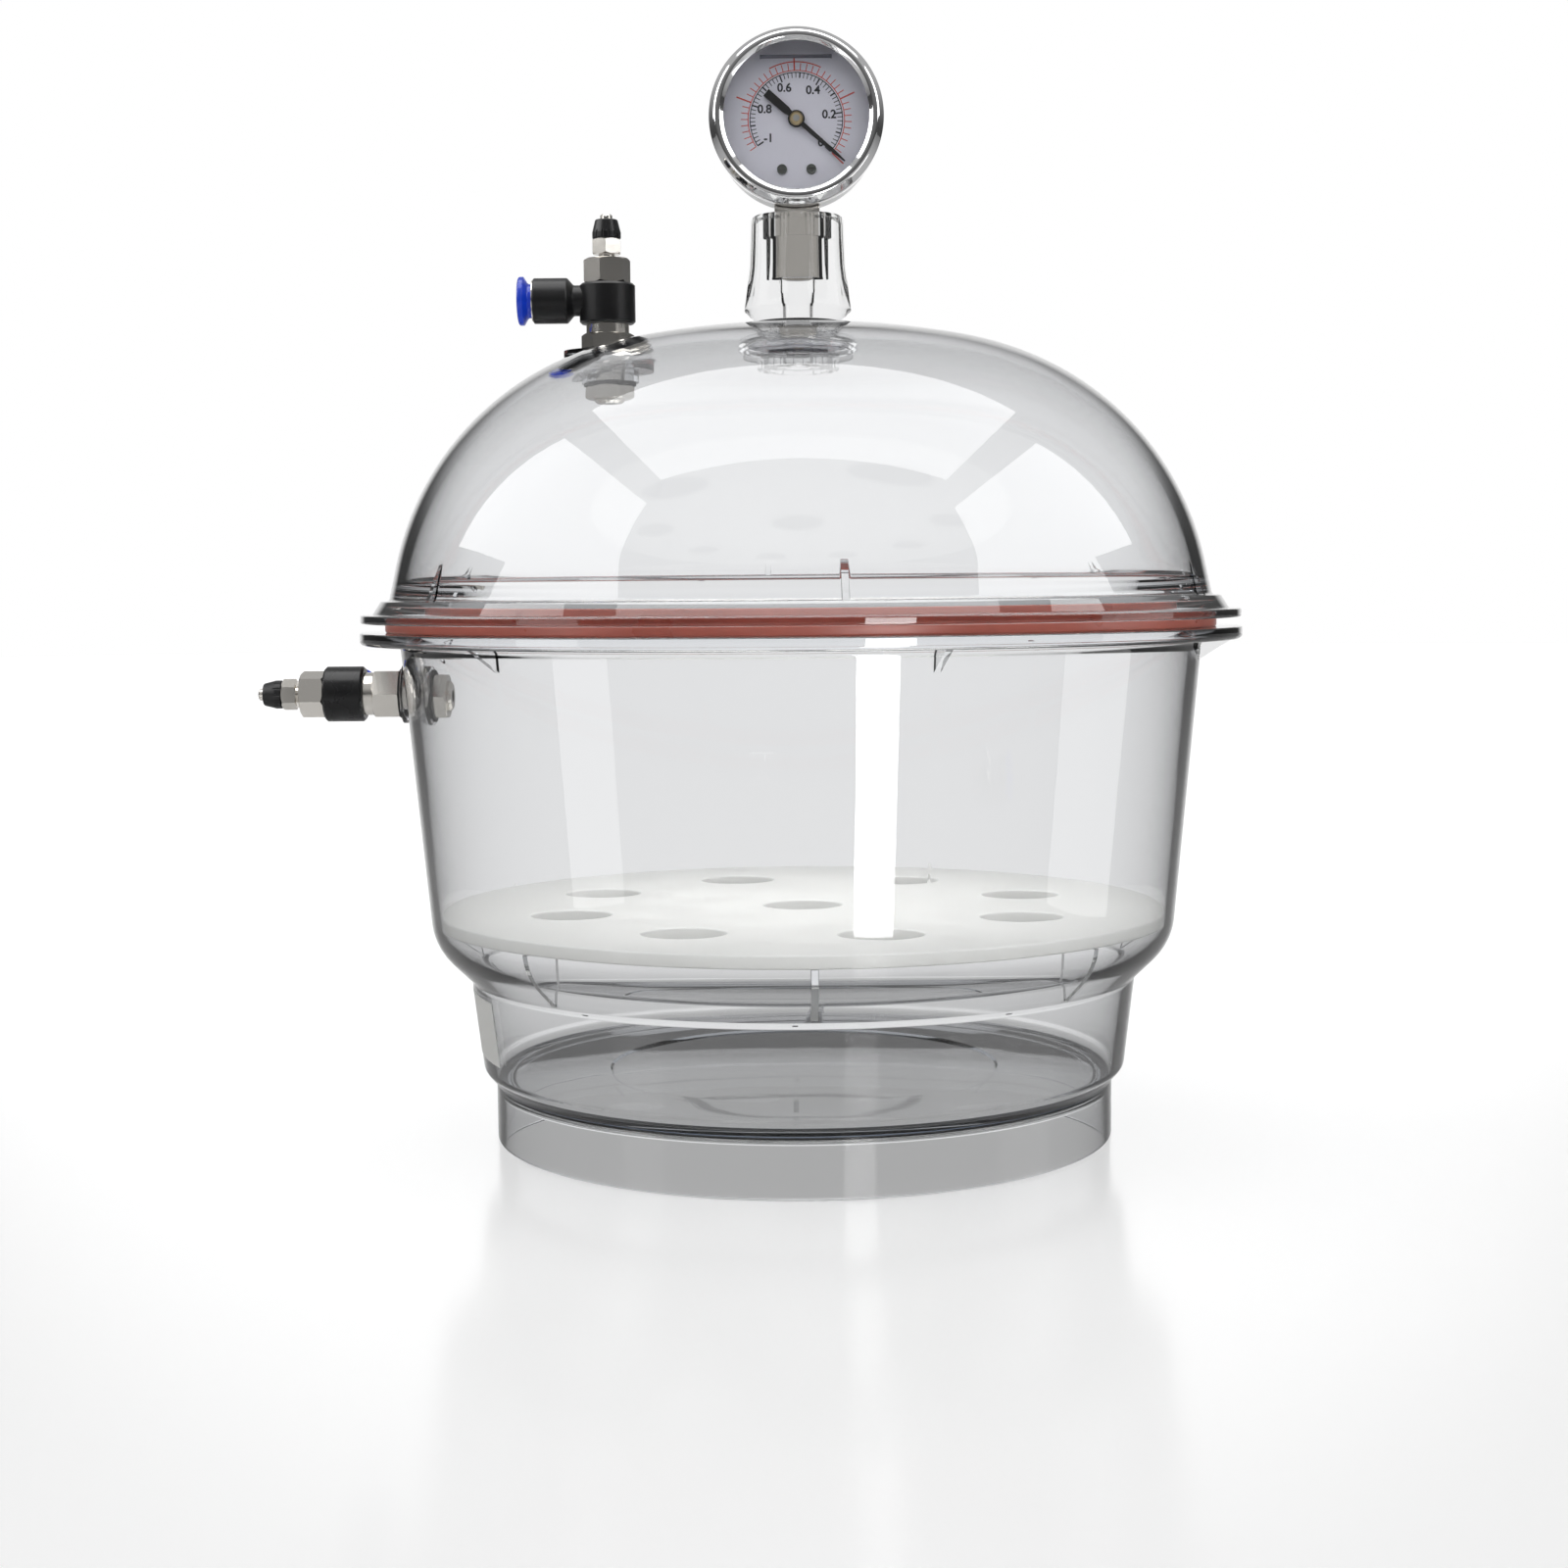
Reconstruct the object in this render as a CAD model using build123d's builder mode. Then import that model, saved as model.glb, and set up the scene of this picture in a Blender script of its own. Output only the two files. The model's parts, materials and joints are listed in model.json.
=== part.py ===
from build123d import *
import os
from math import cos, radians, sin, sqrt

os.makedirs("parts", exist_ok=True)

# Clear vacuum chamber: a bowl on a foot, a domed lid on a silicone ring, a perforated plate,
# a vacuum gauge in a fluted cap, and two flow valves with push-in ports.
# Millimetres. The origin is the centre of the foot's ring on the table, +Z is up,
# and the gauge's dial faces -Y.

# ------------------------------------------------------------------ driving dimensions

# bowl
FOOT_R = 98.5
FOOT_H = 18.5
FLOOR_Z = 17.0
FLOOR_THICK = 4.0
DRUM_R = 102.6
DRUM_TOP_R = 105.8
DRUM_TOP_Z = 51.5
SHOULDER_R = 117.4
SHOULDER_Z = 62.8
RIM_Z = 160.8
RIM_R = 138.5
RIM_THICK = 3.8
MOUTH_R = 125.0
PLATE_Z = 69.2
RIB_COUNT = 8
RIB_INNER_R = 104.0
GUSSET_COUNT = 6
WEB_THICK = 2.0

# lid
LID_RIM_R = 138.2
LID_RIM_Z = 163.7
LID_RIM_THICK = 2.6
CHANNEL_TOP = 170.5
GROOVE_TOP = 168.0
GROOVE_INNER_R = 125.0
GROOVE_OUTER_R = 130.7
LIP_R = 122.8
WALL = 4.0
WALL_DRAFT = 12.5
CORNER_R = 90.4
CORNER_X = 38.6
CROWN_R = 280.0
CROWN_Z = -23.7
CAP_SEAT_Z = 255.9
CAP_HOLE_R = 10.0

# plate
PLATE_R = 115.0
PLATE_THICK = 4.0
PLATE_HOLE_R = 12.5
PLATE_HOLE_PCR = 75.5
PLATE_HOLES = 8

# cap on the lid
CAP_SEAL_THICK = 1.2
CAP_TOP = 289.9
CAP_FLUTES = 8
SPIGOT_R = 9.7
SPIGOT_END = 245.0
CAP_PAD_Z = 251.6
INSERT_BASE = 270.0
INSERT_R = 8.0
INSERT_HEX_Z = 283.0
INSERT_HEX_R = 8.85
INSERT_BORE_R = 6.4

# gauge
GAUGE_Z = 318.4
BEZEL_R = 27.0
CASE_R = 25.5
CASE_BACK = -12.0
CASE_FRONT = 12.0
SHEET = 1.0
WINDOW_R = 26.0
WINDOW_THICK = 2.2
DIAL_VIEW_R = 22.4
DIAL_R = 23.8
DIAL_DEPTH = 6.2
DIAL_THICK = 0.8
DIAL_SCREW_X = 4.5
DIAL_SCREW_Y = -15.0
SOCKET_BASE = 290.0
SOCKET_TOP = 303.0
SOCKET_SIDE = 14.0
SOCKET_DEPTH = 9.0
POINTER_REST = -41.0
POINTER_REACH = 19.6
POINTER_TAIL = 12.2
ARBOR_R = 1.0

# flow valves, measured outward from the seat on the chamber's wall
VALVE_WALL = 8.0
WALL_SEAL = 1.0
INNER_NUT = 4.6
THREAD_R = 4.86
THREAD_HOLE_R = 4.95
WALL_HOLE_R = 5.1
NUT_AF = 14.5
COLLAR_R = 6.8
STEM_R = 5.6
RUNNING = 0.05
BANJO_R = 8.8
BANJO_H = 12.6
ARM_RISE = 7.4
HEX_AF = 13.0
HEX_H = 7.8
STEM_GAP = 1.3
LOCK_NUT_AF = 8.6
LOCK_NUT_H = 4.8
KNOB_H = 6.0
KNOB_BASE_R = 4.5
KNOB_TOP_R = 3.5
NEEDLE_R = 2.5
NEEDLE_TAIL_R = 1.9
NEEDLE_PROUD = 1.6
SEAT_RISE = 3.5
SEAT_R = 2.0
TUBE_R = 4.05
FREE_BORE_R = 4.5
BARREL_R = 7.1
BARREL_START = 12.6
BARREL_END = 23.3
TUBE_STOP = 12.5
TUBE_SEAT_END = 16.7
POCKET_R = 5.8
POCKET_END = 22.3
RING_END = 28.0
RING_R = 7.6

TOP_VALVE_X = -60.0
TOP_SEAT_Z = 248.5
SIDE_VALVE_Z = 141.0
SIDE_SEAT_X = -126.8


# ------------------------------------------------------------------ helpers

def upright(angle):
    """The vertical half plane at an angle from +X: its x is the radius and its y is the height."""
    turn = radians(angle)
    return Plane(origin=(0, 0, 0), x_dir=(cos(turn), sin(turn), 0), z_dir=(sin(turn), -cos(turn), 0))


def axial(seat):
    """The plane through a seat's axis: its x runs along the seat's x and its y along the axis."""
    return Plane(origin=seat.origin, x_dir=seat.x_dir, z_dir=seat.x_dir.cross(seat.z_dir))


def section(plane, *outline):
    """A closed outline of (radius, height) points, drawn on a plane through the axis of a turned piece."""
    with BuildSketch(plane) as face:
        with BuildLine():
            Polyline(*outline, close=True)
        make_face()
    return face.sketch


def rounded_section(plane, outline, roundings):
    """As section, with a rounding radius for each corner."""
    with BuildSketch(plane) as face:
        with BuildLine():
            FilletPolyline(*outline, radius=roundings, close=True)
        make_face()
    return face.sketch


def ring_section(plane, inner_r, outer_r, low, high):
    """The rectangular section of a plain ring."""
    return section(plane, (inner_r, low), (outer_r, low), (outer_r, high), (inner_r, high))


def chamfered_hex(seat, across_flats, low, high, both_ends=False, turn=0):
    """A hexagonal bar along a seat's axis, its corners turned off at the outer end, or at both."""
    corner_r = across_flats / sqrt(3)
    flat_r = across_flats / 2
    drop = (corner_r - flat_r) * 0.6
    foot_r = flat_r if both_ends else corner_r
    with BuildPart() as bar:
        with BuildSketch(seat.offset(low)):
            RegularPolygon(flat_r, 6, major_radius=False, rotation=turn)
        extrude(amount=high - low)
        envelope = section(
            axial(seat),
            (0, low),
            (foot_r, low),
            (corner_r, low + drop),
            (corner_r, high - drop),
            (flat_r, high),
            (0, high),
        )
        revolve(envelope, axis=Axis(seat.origin, seat.z_dir), mode=Mode.INTERSECT)
    return bar.part


# ------------------------------------------------------------------ bowl

outer_wall = (125.9 - SHOULDER_R) / (154.0 - SHOULDER_Z)
bowl_outline = [
    (0, FLOOR_Z),
    (FOOT_R - 3.8, FLOOR_Z),
    (FOOT_R - 3.8, 0),
    (FOOT_R, 0),
    (FOOT_R, FOOT_H),
    (DRUM_R - 0.2, FOOT_H + 4.5),
    (DRUM_TOP_R, DRUM_TOP_Z),
    (SHOULDER_R, SHOULDER_Z),
    (SHOULDER_R + outer_wall * (RIM_Z - RIM_THICK - SHOULDER_Z), RIM_Z - RIM_THICK),
    (RIM_R, RIM_Z - RIM_THICK),
    (RIM_R, RIM_Z),
    (MOUTH_R, RIM_Z),
    (MOUTH_R, RIM_Z - 2.3),
    (MOUTH_R - 2.9, RIM_Z - 6.3),
    (114.85, 64.7),
    (DRUM_TOP_R - 3.3, DRUM_TOP_Z + 1.25),
    (DRUM_R - 3.8, FLOOR_Z + FLOOR_THICK),
    (0, FLOOR_Z + FLOOR_THICK),
]
bowl_roundings = [0, 2, 0.5, 0.8, 1.5, 3, 3, 18, 2, 1.5, 0.5, 0.5, 1, 2, 14, 3, 4, 0]

side_seat = Plane(origin=(SIDE_SEAT_X, 0, SIDE_VALVE_Z), x_dir=(0, 1, 0), z_dir=(-1, 0, 0))

with BuildPart() as bowl:
    revolve(rounded_section(Plane.XZ, bowl_outline, bowl_roundings), axis=Axis.Z)
    # webs under the plate, standing on the shoulder
    for web in range(RIB_COUNT):
        with BuildSketch(upright(-88.4 + web * 360 / RIB_COUNT)):
            with BuildLine():
                Polyline(
                    (RIB_INNER_R, PLATE_Z),
                    (PLATE_R + 0.8, PLATE_Z),
                    (PLATE_R + 1.0, 64.5),
                    (RIB_INNER_R, 53.0),
                    close=True,
                )
            make_face()
        extrude(amount=WEB_THICK / 2, both=True)
    # gussets under the rim
    for web in range(GUSSET_COUNT):
        with BuildSketch(upright(-73 + web * 360 / GUSSET_COUNT)):
            with BuildLine():
                Polyline((124.4, 157.6), (135.5, 157.6), (135.5, 157.0), (124.4, 149.8), close=True)
            make_face()
        extrude(amount=WEB_THICK / 2, both=True)
    # flat boss for the side valve, and its hole
    with BuildSketch(side_seat):
        Circle(9.5)
    extrude(amount=-VALVE_WALL)
    with BuildSketch(side_seat):
        Circle(WALL_HOLE_R)
    extrude(amount=-VALVE_WALL * 2, mode=Mode.SUBTRACT)
    # shallow round well in the floor
    with BuildSketch(Plane.XY.offset(FLOOR_Z + FLOOR_THICK)):
        Circle(62)
    extrude(amount=-0.7, mode=Mode.SUBTRACT)
bowl.part.label = "bowl"
export_step(bowl.part, "parts/bowl.step")

# ------------------------------------------------------------------ lid

corner_z = CROWN_Z + sqrt((CROWN_R - CORNER_R) ** 2 - CORNER_X**2)
crown_lean = CORNER_X / (CROWN_R - CORNER_R)


def dome_curve(inset):
    """Points on the dome's skin, inset from the outside: apex, mid crown, crown end, mid corner, wall top."""
    crown = CROWN_R - inset
    corner = CORNER_R - inset
    rise = sqrt(1 - crown_lean**2)
    middle = (radians(WALL_DRAFT) + radians(78.26)) / 2
    return [
        (0, CROWN_Z + crown),
        (crown * crown_lean / 2, CROWN_Z + sqrt(crown**2 - (crown * crown_lean / 2) ** 2)),
        (crown * crown_lean, CROWN_Z + crown * rise),
        (CORNER_X + corner * cos(middle), corner_z + corner * sin(middle)),
        (CORNER_X + corner * cos(radians(WALL_DRAFT)), corner_z + corner * sin(radians(WALL_DRAFT))),
    ]


outside = dome_curve(0)
inside = dome_curve(WALL)
wall_foot_r = outside[4][0] + (outside[4][1] - CHANNEL_TOP) * sin(radians(WALL_DRAFT)) / cos(radians(WALL_DRAFT))
inner_foot = (inside[4][0] + 1.2, inside[4][1] - 5.5)
top_seat = Plane(origin=(TOP_VALVE_X, 0, TOP_SEAT_Z), x_dir=(-1, 0, 0), z_dir=(0, 0, 1))

with BuildPart() as dome_lid:
    with BuildSketch(Plane.XZ):
        with BuildLine():
            ThreePointArc(outside[0], outside[1], outside[2])
            ThreePointArc(outside[2], outside[3], outside[4])
            Polyline(
                outside[4],
                (wall_foot_r, CHANNEL_TOP),
                (131.8, CHANNEL_TOP),
                (134.5, LID_RIM_Z + LID_RIM_THICK),
                (LID_RIM_R, LID_RIM_Z + LID_RIM_THICK),
                (LID_RIM_R, LID_RIM_Z),
                (GROOVE_OUTER_R, LID_RIM_Z),
                (GROOVE_OUTER_R, GROOVE_TOP),
                (GROOVE_INNER_R, GROOVE_TOP),
                (GROOVE_INNER_R, LID_RIM_Z - 0.5),
                (LIP_R, LID_RIM_Z - 0.5),
                (LIP_R, GROOVE_TOP + 3),
                inner_foot,
                inside[4],
            )
            ThreePointArc(inside[4], inside[3], inside[2])
            ThreePointArc(inside[2], inside[1], inside[0])
            Line(inside[0], outside[0])
        make_face()
    revolve(axis=Axis.Z)
    # gussets over the rim
    for web in range(GUSSET_COUNT):
        with BuildSketch(upright(-84.7 + web * 360 / GUSSET_COUNT)):
            with BuildLine():
                Polyline((126.0, 182.0), (126.6, 182.0), (131.7, 170.3), (128.0, 170.0), close=True)
            make_face()
        extrude(amount=WEB_THICK / 2, both=True)
    # flat pads for the cap, outside and inside the crown
    with BuildSketch(Plane.XY.offset(CAP_PAD_Z)):
        Circle(19)
    extrude(amount=2)
    with BuildSketch(Plane.XY.offset(CAP_SEAT_Z)):
        Circle(20)
    extrude(amount=5, mode=Mode.SUBTRACT)
    with BuildSketch(Plane.XY.offset(CAP_PAD_Z - 5)):
        Circle(CAP_HOLE_R)
    extrude(amount=15, mode=Mode.SUBTRACT)
    # level pad and inner boss for the top valve
    with BuildSketch(top_seat):
        Circle(14)
    extrude(amount=-4)
    with BuildSketch(top_seat):
        Circle(9.2)
    extrude(amount=-VALVE_WALL)
    with BuildSketch(top_seat):
        Circle(14)
    extrude(amount=8, mode=Mode.SUBTRACT)
    with BuildSketch(top_seat):
        Circle(WALL_HOLE_R)
    extrude(amount=-VALVE_WALL * 2, mode=Mode.SUBTRACT)
dome_lid.part.label = "dome_lid"
export_step(dome_lid.part, "parts/dome_lid.step")

# ------------------------------------------------------------------ seal ring and plate

with BuildPart() as seal_ring:
    # a solid band with a V groove round its outer face
    band = section(
        Plane.XZ,
        (GROOVE_INNER_R + 0.1, RIM_Z),
        (GROOVE_OUTER_R - 0.1, RIM_Z),
        (GROOVE_OUTER_R - 0.1, 163.6),
        (GROOVE_OUTER_R - 1.4, 164.6),
        (GROOVE_OUTER_R - 0.1, 165.6),
        (GROOVE_OUTER_R - 0.1, GROOVE_TOP),
        (GROOVE_INNER_R + 0.1, GROOVE_TOP),
    )
    revolve(band, axis=Axis.Z)
seal_ring.part.label = "seal_ring"
export_step(seal_ring.part, "parts/seal_ring.step")

with BuildPart() as partition_plate:
    with BuildSketch(Plane.XY.offset(PLATE_Z)):
        Circle(PLATE_R)
        with PolarLocations(PLATE_HOLE_PCR, PLATE_HOLES, start_angle=-72.5):
            Circle(PLATE_HOLE_R, mode=Mode.SUBTRACT)
        Circle(PLATE_HOLE_R, mode=Mode.SUBTRACT)
    extrude(amount=PLATE_THICK)
    rim_edges = partition_plate.edges().filter_by(GeomType.CIRCLE).group_by(lambda e: e.radius)[-1]
    chamfer(rim_edges, 0.5)
partition_plate.part.label = "partition_plate"
export_step(partition_plate.part, "parts/partition_plate.step")

# ------------------------------------------------------------------ cap, its nut and the gauge's insert

cap_base = CAP_SEAT_Z + CAP_SEAL_THICK

with BuildPart() as cap_seal:
    revolve(ring_section(Plane.XZ, SPIGOT_R + 0.5, 13.2, CAP_SEAT_Z, cap_base), axis=Axis.Z)
cap_seal.part.label = "cap_seal"
export_step(cap_seal.part, "parts/cap_seal.step")

cap_outline = [
    (0, SPIGOT_END),
    (SPIGOT_R, SPIGOT_END),
    (SPIGOT_R, cap_base),
    (13.4, cap_base),
    (17.0, 260.6),
    (16.4, 264.5),
    (15.0, 275.0),
    (14.6, CAP_TOP),
    (0, CAP_TOP),
]
cap_roundings = [0, 0.8, 0, 0.6, 1.2, 6, 20, 2, 0]

with BuildPart() as fluted_cap:
    revolve(rounded_section(Plane.XZ, cap_outline, cap_roundings), axis=Axis.Z)
    # vertical flutes that run out above the flare
    with BuildSketch(Plane.XY.offset(264.5)):
        with PolarLocations(19.6, CAP_FLUTES, start_angle=-67.5):
            Circle(5.6)
    extrude(amount=40, mode=Mode.SUBTRACT)
    # stepped bore: hexagon seat, sleeve seat, air passage
    with BuildSketch(Plane.XY.offset(INSERT_HEX_Z)):
        RegularPolygon(INSERT_HEX_R, 6)
    extrude(amount=20, mode=Mode.SUBTRACT)
    with BuildSketch(Plane.XY.offset(INSERT_BASE)):
        Circle(INSERT_R)
    extrude(amount=20, mode=Mode.SUBTRACT)
    with BuildSketch(Plane.XY.offset(SPIGOT_END - 1)):
        Circle(4.0)
    extrude(amount=40, mode=Mode.SUBTRACT)
fluted_cap.part.label = "fluted_cap"
export_step(fluted_cap.part, "parts/fluted_cap.step")

with BuildPart() as cap_nut:
    # flanged nut that clamps the cap from inside the lid
    nut_outline = section(
        Plane.XZ,
        (SPIGOT_R + 0.1, 244.0),
        (12.4, 244.0),
        (13.0, 244.6),
        (13.0, 248.8),
        (17.5, 248.8),
        (17.5, CAP_PAD_Z),
        (SPIGOT_R + 0.1, CAP_PAD_Z),
    )
    revolve(nut_outline, axis=Axis.Z)
    with BuildSketch(Plane.XY.offset(243)):
        with PolarLocations(14.4, 12):
            Circle(2.2)
    extrude(amount=5.2, mode=Mode.SUBTRACT)
cap_nut.part.label = "cap_nut"
export_step(cap_nut.part, "parts/cap_nut.step")

with BuildPart() as gauge_insert:
    with BuildSketch(Plane.XY.offset(INSERT_HEX_Z)):
        RegularPolygon(INSERT_HEX_R, 6)
    extrude(amount=SOCKET_BASE - INSERT_HEX_Z)
    with BuildSketch(Plane.XY.offset(INSERT_BASE)):
        Circle(INSERT_R)
    extrude(amount=INSERT_HEX_Z - INSERT_BASE)
    with BuildSketch(Plane.XY.offset(INSERT_BASE)):
        Circle(INSERT_BORE_R)
    extrude(amount=30, mode=Mode.SUBTRACT)
gauge_insert.part.label = "gauge_insert"
export_step(gauge_insert.part, "parts/gauge_insert.step")

# ------------------------------------------------------------------ gauge

# the dial's plane: x to the right, y up, z out of the dial
face = Plane(origin=(0, 0, GAUGE_Z), x_dir=(1, 0, 0), z_dir=(0, -1, 0))
face_axis = Axis(face.origin, face.z_dir)
face_section = axial(face)

with BuildPart() as gauge_case:
    can = rounded_section(
        face_section,
        [
            (0, CASE_BACK),
            (CASE_R, CASE_BACK),
            (CASE_R, CASE_FRONT - SHEET),
            (CASE_R + 0.7, CASE_FRONT - SHEET),
            (CASE_R + 0.7, CASE_FRONT),
            (CASE_R - SHEET, CASE_FRONT),
            (CASE_R - SHEET, CASE_BACK + SHEET),
            (0, CASE_BACK + SHEET),
        ],
        [0, 2.6, 0, 0, 0, 0, 1.6, 0],
    )
    revolve(can, axis=face_axis)
    # square opening for the socket, and the filling hole at the top
    with BuildSketch(Plane.XY.offset(SOCKET_BASE)):
        Rectangle(SOCKET_SIDE + 0.2, SOCKET_SIDE + 0.2)
    extrude(amount=8, mode=Mode.SUBTRACT)
    with BuildSketch(Plane.XY.offset(GAUGE_Z + 20)):
        Circle(3.6)
    extrude(amount=8, mode=Mode.SUBTRACT)
gauge_case.part.label = "gauge_case"
export_step(gauge_case.part, "parts/gauge_case.step")

with BuildPart() as fill_plug:
    # rubber plug with a head inside and outside the case
    plug = Plane(origin=(0, 0, GAUGE_Z))
    revolve(
        section(
            axial(plug),
            (0, 22.5),
            (3.9, 22.5),
            (3.5, 24.0),
            (3.5, 25.5),
            (4.6, 25.5),
            (4.0, 26.5),
            (0, 26.5),
        ),
        axis=Axis(plug.origin, plug.z_dir),
    )
    add(gauge_case.part, mode=Mode.SUBTRACT)
fill_plug.part.label = "fill_plug"
export_step(fill_plug.part, "parts/fill_plug.step")

window_back = CASE_FRONT + 1.0

with BuildPart() as bezel:
    hoop = rounded_section(
        face_section,
        [
            (CASE_R + 0.1, CASE_FRONT - SHEET - 1.0),
            (BEZEL_R, CASE_FRONT - SHEET - 1.0),
            (BEZEL_R, 14.4),
            (25.2, 17.4),
            (23.6, 17.4),
            (DIAL_VIEW_R, 16.4),
            (DIAL_VIEW_R, window_back + WINDOW_THICK),
            (BEZEL_R - 0.7, window_back + WINDOW_THICK),
            (BEZEL_R - 0.7, CASE_FRONT - SHEET),
            (CASE_R + 0.1, CASE_FRONT - SHEET),
        ],
        [0, 0.4, 2.4, 1.2, 0.8, 0.3, 0, 0, 0, 0],
    )
    revolve(hoop, axis=face_axis)
bezel.part.label = "gauge_bezel"
export_step(bezel.part, "parts/gauge_bezel.step")

with BuildPart() as gauge_window:
    with BuildSketch(face.offset(window_back)):
        Circle(WINDOW_R)
    extrude(amount=WINDOW_THICK)
gauge_window.part.label = "gauge_window"
export_step(gauge_window.part, "parts/gauge_window.step")

with BuildPart() as window_seal:
    with BuildSketch(face.offset(CASE_FRONT)):
        Circle(WINDOW_R)
        Circle(DIAL_VIEW_R + 0.6, mode=Mode.SUBTRACT)
    extrude(amount=window_back - CASE_FRONT)
window_seal.part.label = "window_seal"
export_step(window_seal.part, "parts/window_seal.step")

with BuildPart() as gauge_dial:
    with BuildSketch(face.offset(DIAL_DEPTH)):
        Circle(DIAL_R)
        Circle(ARBOR_R + 0.6, mode=Mode.SUBTRACT)
        with Locations((-DIAL_SCREW_X, DIAL_SCREW_Y), (DIAL_SCREW_X, DIAL_SCREW_Y)):
            Circle(0.9, mode=Mode.SUBTRACT)
    extrude(amount=DIAL_THICK)
gauge_dial.part.label = "gauge_dial"
export_step(gauge_dial.part, "parts/gauge_dial.step")

with BuildPart() as dial_screws:
    # two cheese-head screws with a slot
    with BuildSketch(face.offset(DIAL_DEPTH + DIAL_THICK)):
        with Locations((-DIAL_SCREW_X, DIAL_SCREW_Y), (DIAL_SCREW_X, DIAL_SCREW_Y)):
            Circle(1.5)
    extrude(amount=0.8)
    with BuildSketch(face.offset(DIAL_DEPTH + DIAL_THICK + 0.4)):
        with Locations((-DIAL_SCREW_X, DIAL_SCREW_Y), (DIAL_SCREW_X, DIAL_SCREW_Y)):
            Rectangle(4, 0.45)
    extrude(amount=1, mode=Mode.SUBTRACT)
    with BuildSketch(face.offset(DIAL_DEPTH - 2.2)):
        with Locations((-DIAL_SCREW_X, DIAL_SCREW_Y), (DIAL_SCREW_X, DIAL_SCREW_Y)):
            Circle(0.85)
    extrude(amount=2.2 + DIAL_THICK)
dial_screws.part.label = "dial_screws"
export_step(dial_screws.part, "parts/dial_screws.step")

# the pointer's own plane: x along the blade
blade_angle = radians(POINTER_REST)
blade = Plane(
    origin=face.origin + face.z_dir * (DIAL_DEPTH + DIAL_THICK + 1.3),
    x_dir=(cos(blade_angle), 0, sin(blade_angle)),
    z_dir=(0, -1, 0),
)

with BuildPart() as pointer:
    with BuildSketch(blade):
        with BuildLine():
            Polyline(
                (POINTER_REACH, -0.2),
                (POINTER_REACH, 0.2),
                (POINTER_REACH - 4.0, 0.5),
                (2.0, 0.75),
                (-2.0, 0.75),
                (-4.0, 1.2),
                (-POINTER_TAIL, 1.3),
                (-POINTER_TAIL, -1.3),
                (-4.0, -1.2),
                (-2.0, -0.75),
                (2.0, -0.75),
                (POINTER_REACH - 4.0, -0.5),
                close=True,
            )
        make_face()
        Circle(2.6)
        Circle(1.2, mode=Mode.SUBTRACT)
    extrude(amount=0.5)
pointer.part.label = "pointer"
export_step(pointer.part, "parts/pointer.step")

with BuildPart() as pointer_hub:
    hub_ring = section(
        axial(blade),
        (ARBOR_R, -0.9),
        (1.2, -0.9),
        (1.2, 0.5),
        (2.1, 0.5),
        (2.1, 1.3),
        (1.7, 1.7),
        (ARBOR_R, 1.7),
    )
    revolve(hub_ring, axis=face_axis)
pointer_hub.part.label = "pointer_hub"
export_step(pointer_hub.part, "parts/pointer_hub.step")

with BuildPart() as pinion_arbor:
    arbor = section(
        face_section,
        (0, -7.4),
        (0.6, -7.4),
        (0.6, -5.2),
        (ARBOR_R, -5.2),
        (ARBOR_R, 10.4),
        (0, 10.4),
    )
    revolve(arbor, axis=face_axis)
pinion_arbor.part.label = "pinion_arbor"
export_step(pinion_arbor.part, "parts/pinion_arbor.step")

with BuildPart() as bourdon_tube:
    # a flattened tube bent round the movement, from the socket to its free tip
    with BuildSketch(Plane(origin=(0, 0, GAUGE_Z), x_dir=(cos(radians(-105)), 0, sin(radians(-105))),
                           z_dir=(sin(radians(-105)), 0, -cos(radians(-105))))):
        with Locations((17, -1.75)):
            Ellipse(1.1, 2.4)
    revolve(axis=Axis(face.origin, face.z_dir), revolution_arc=-252)
bourdon_tube.part.label = "bourdon_tube"
export_step(bourdon_tube.part, "parts/bourdon_tube.step")

with BuildPart() as gauge_socket:
    # square block inside the case, threaded stem below it, one air passage
    with BuildSketch(Plane.XY.offset(SOCKET_BASE)):
        Rectangle(SOCKET_SIDE, SOCKET_SIDE)
    extrude(amount=3.4)
    with BuildSketch(Plane.XY.offset(SOCKET_BASE)):
        with Locations((0, SOCKET_SIDE / 2 - SOCKET_DEPTH / 2)):
            Rectangle(SOCKET_SIDE, SOCKET_DEPTH)
    extrude(amount=SOCKET_TOP - SOCKET_BASE)
    with BuildSketch(Plane.XY.offset(INSERT_BASE + 0.6)):
        Circle(INSERT_BORE_R - RUNNING)
    extrude(amount=SOCKET_BASE - INSERT_BASE - 0.6)
    with BuildSketch(Plane.XY.offset(INSERT_BASE)):
        Circle(1.8)
    extrude(amount=SOCKET_TOP - INSERT_BASE - 3, mode=Mode.SUBTRACT)
    add(bourdon_tube.part, mode=Mode.SUBTRACT)
gauge_socket.part.label = "gauge_socket"
export_step(gauge_socket.part, "parts/gauge_socket.step")

with BuildPart() as movement_frame:
    # two plates held apart by pillars, and two posts that carry the dial
    for low, high in ((-6.5, -5.5), (1.0, 2.0)):
        with BuildSketch(face.offset(low)):
            with Locations((0, -4.4)):
                Rectangle(13, 22)
            Circle(ARBOR_R + RUNNING, mode=Mode.SUBTRACT)
        extrude(amount=high - low)
    with BuildSketch(face.offset(-5.5)):
        with Locations((-4.8, 5.0), (4.8, 5.0)):
            Circle(1.4)
    extrude(amount=6.5)
    with BuildSketch(face.offset(2.0)):
        with Locations((-DIAL_SCREW_X, DIAL_SCREW_Y + 1.2), (DIAL_SCREW_X, DIAL_SCREW_Y + 1.2)):
            Rectangle(3.4, 4.4)
    extrude(amount=DIAL_DEPTH - 2.0)
    add(dial_screws.part, mode=Mode.SUBTRACT)
movement_frame.part.label = "movement_frame"
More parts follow.
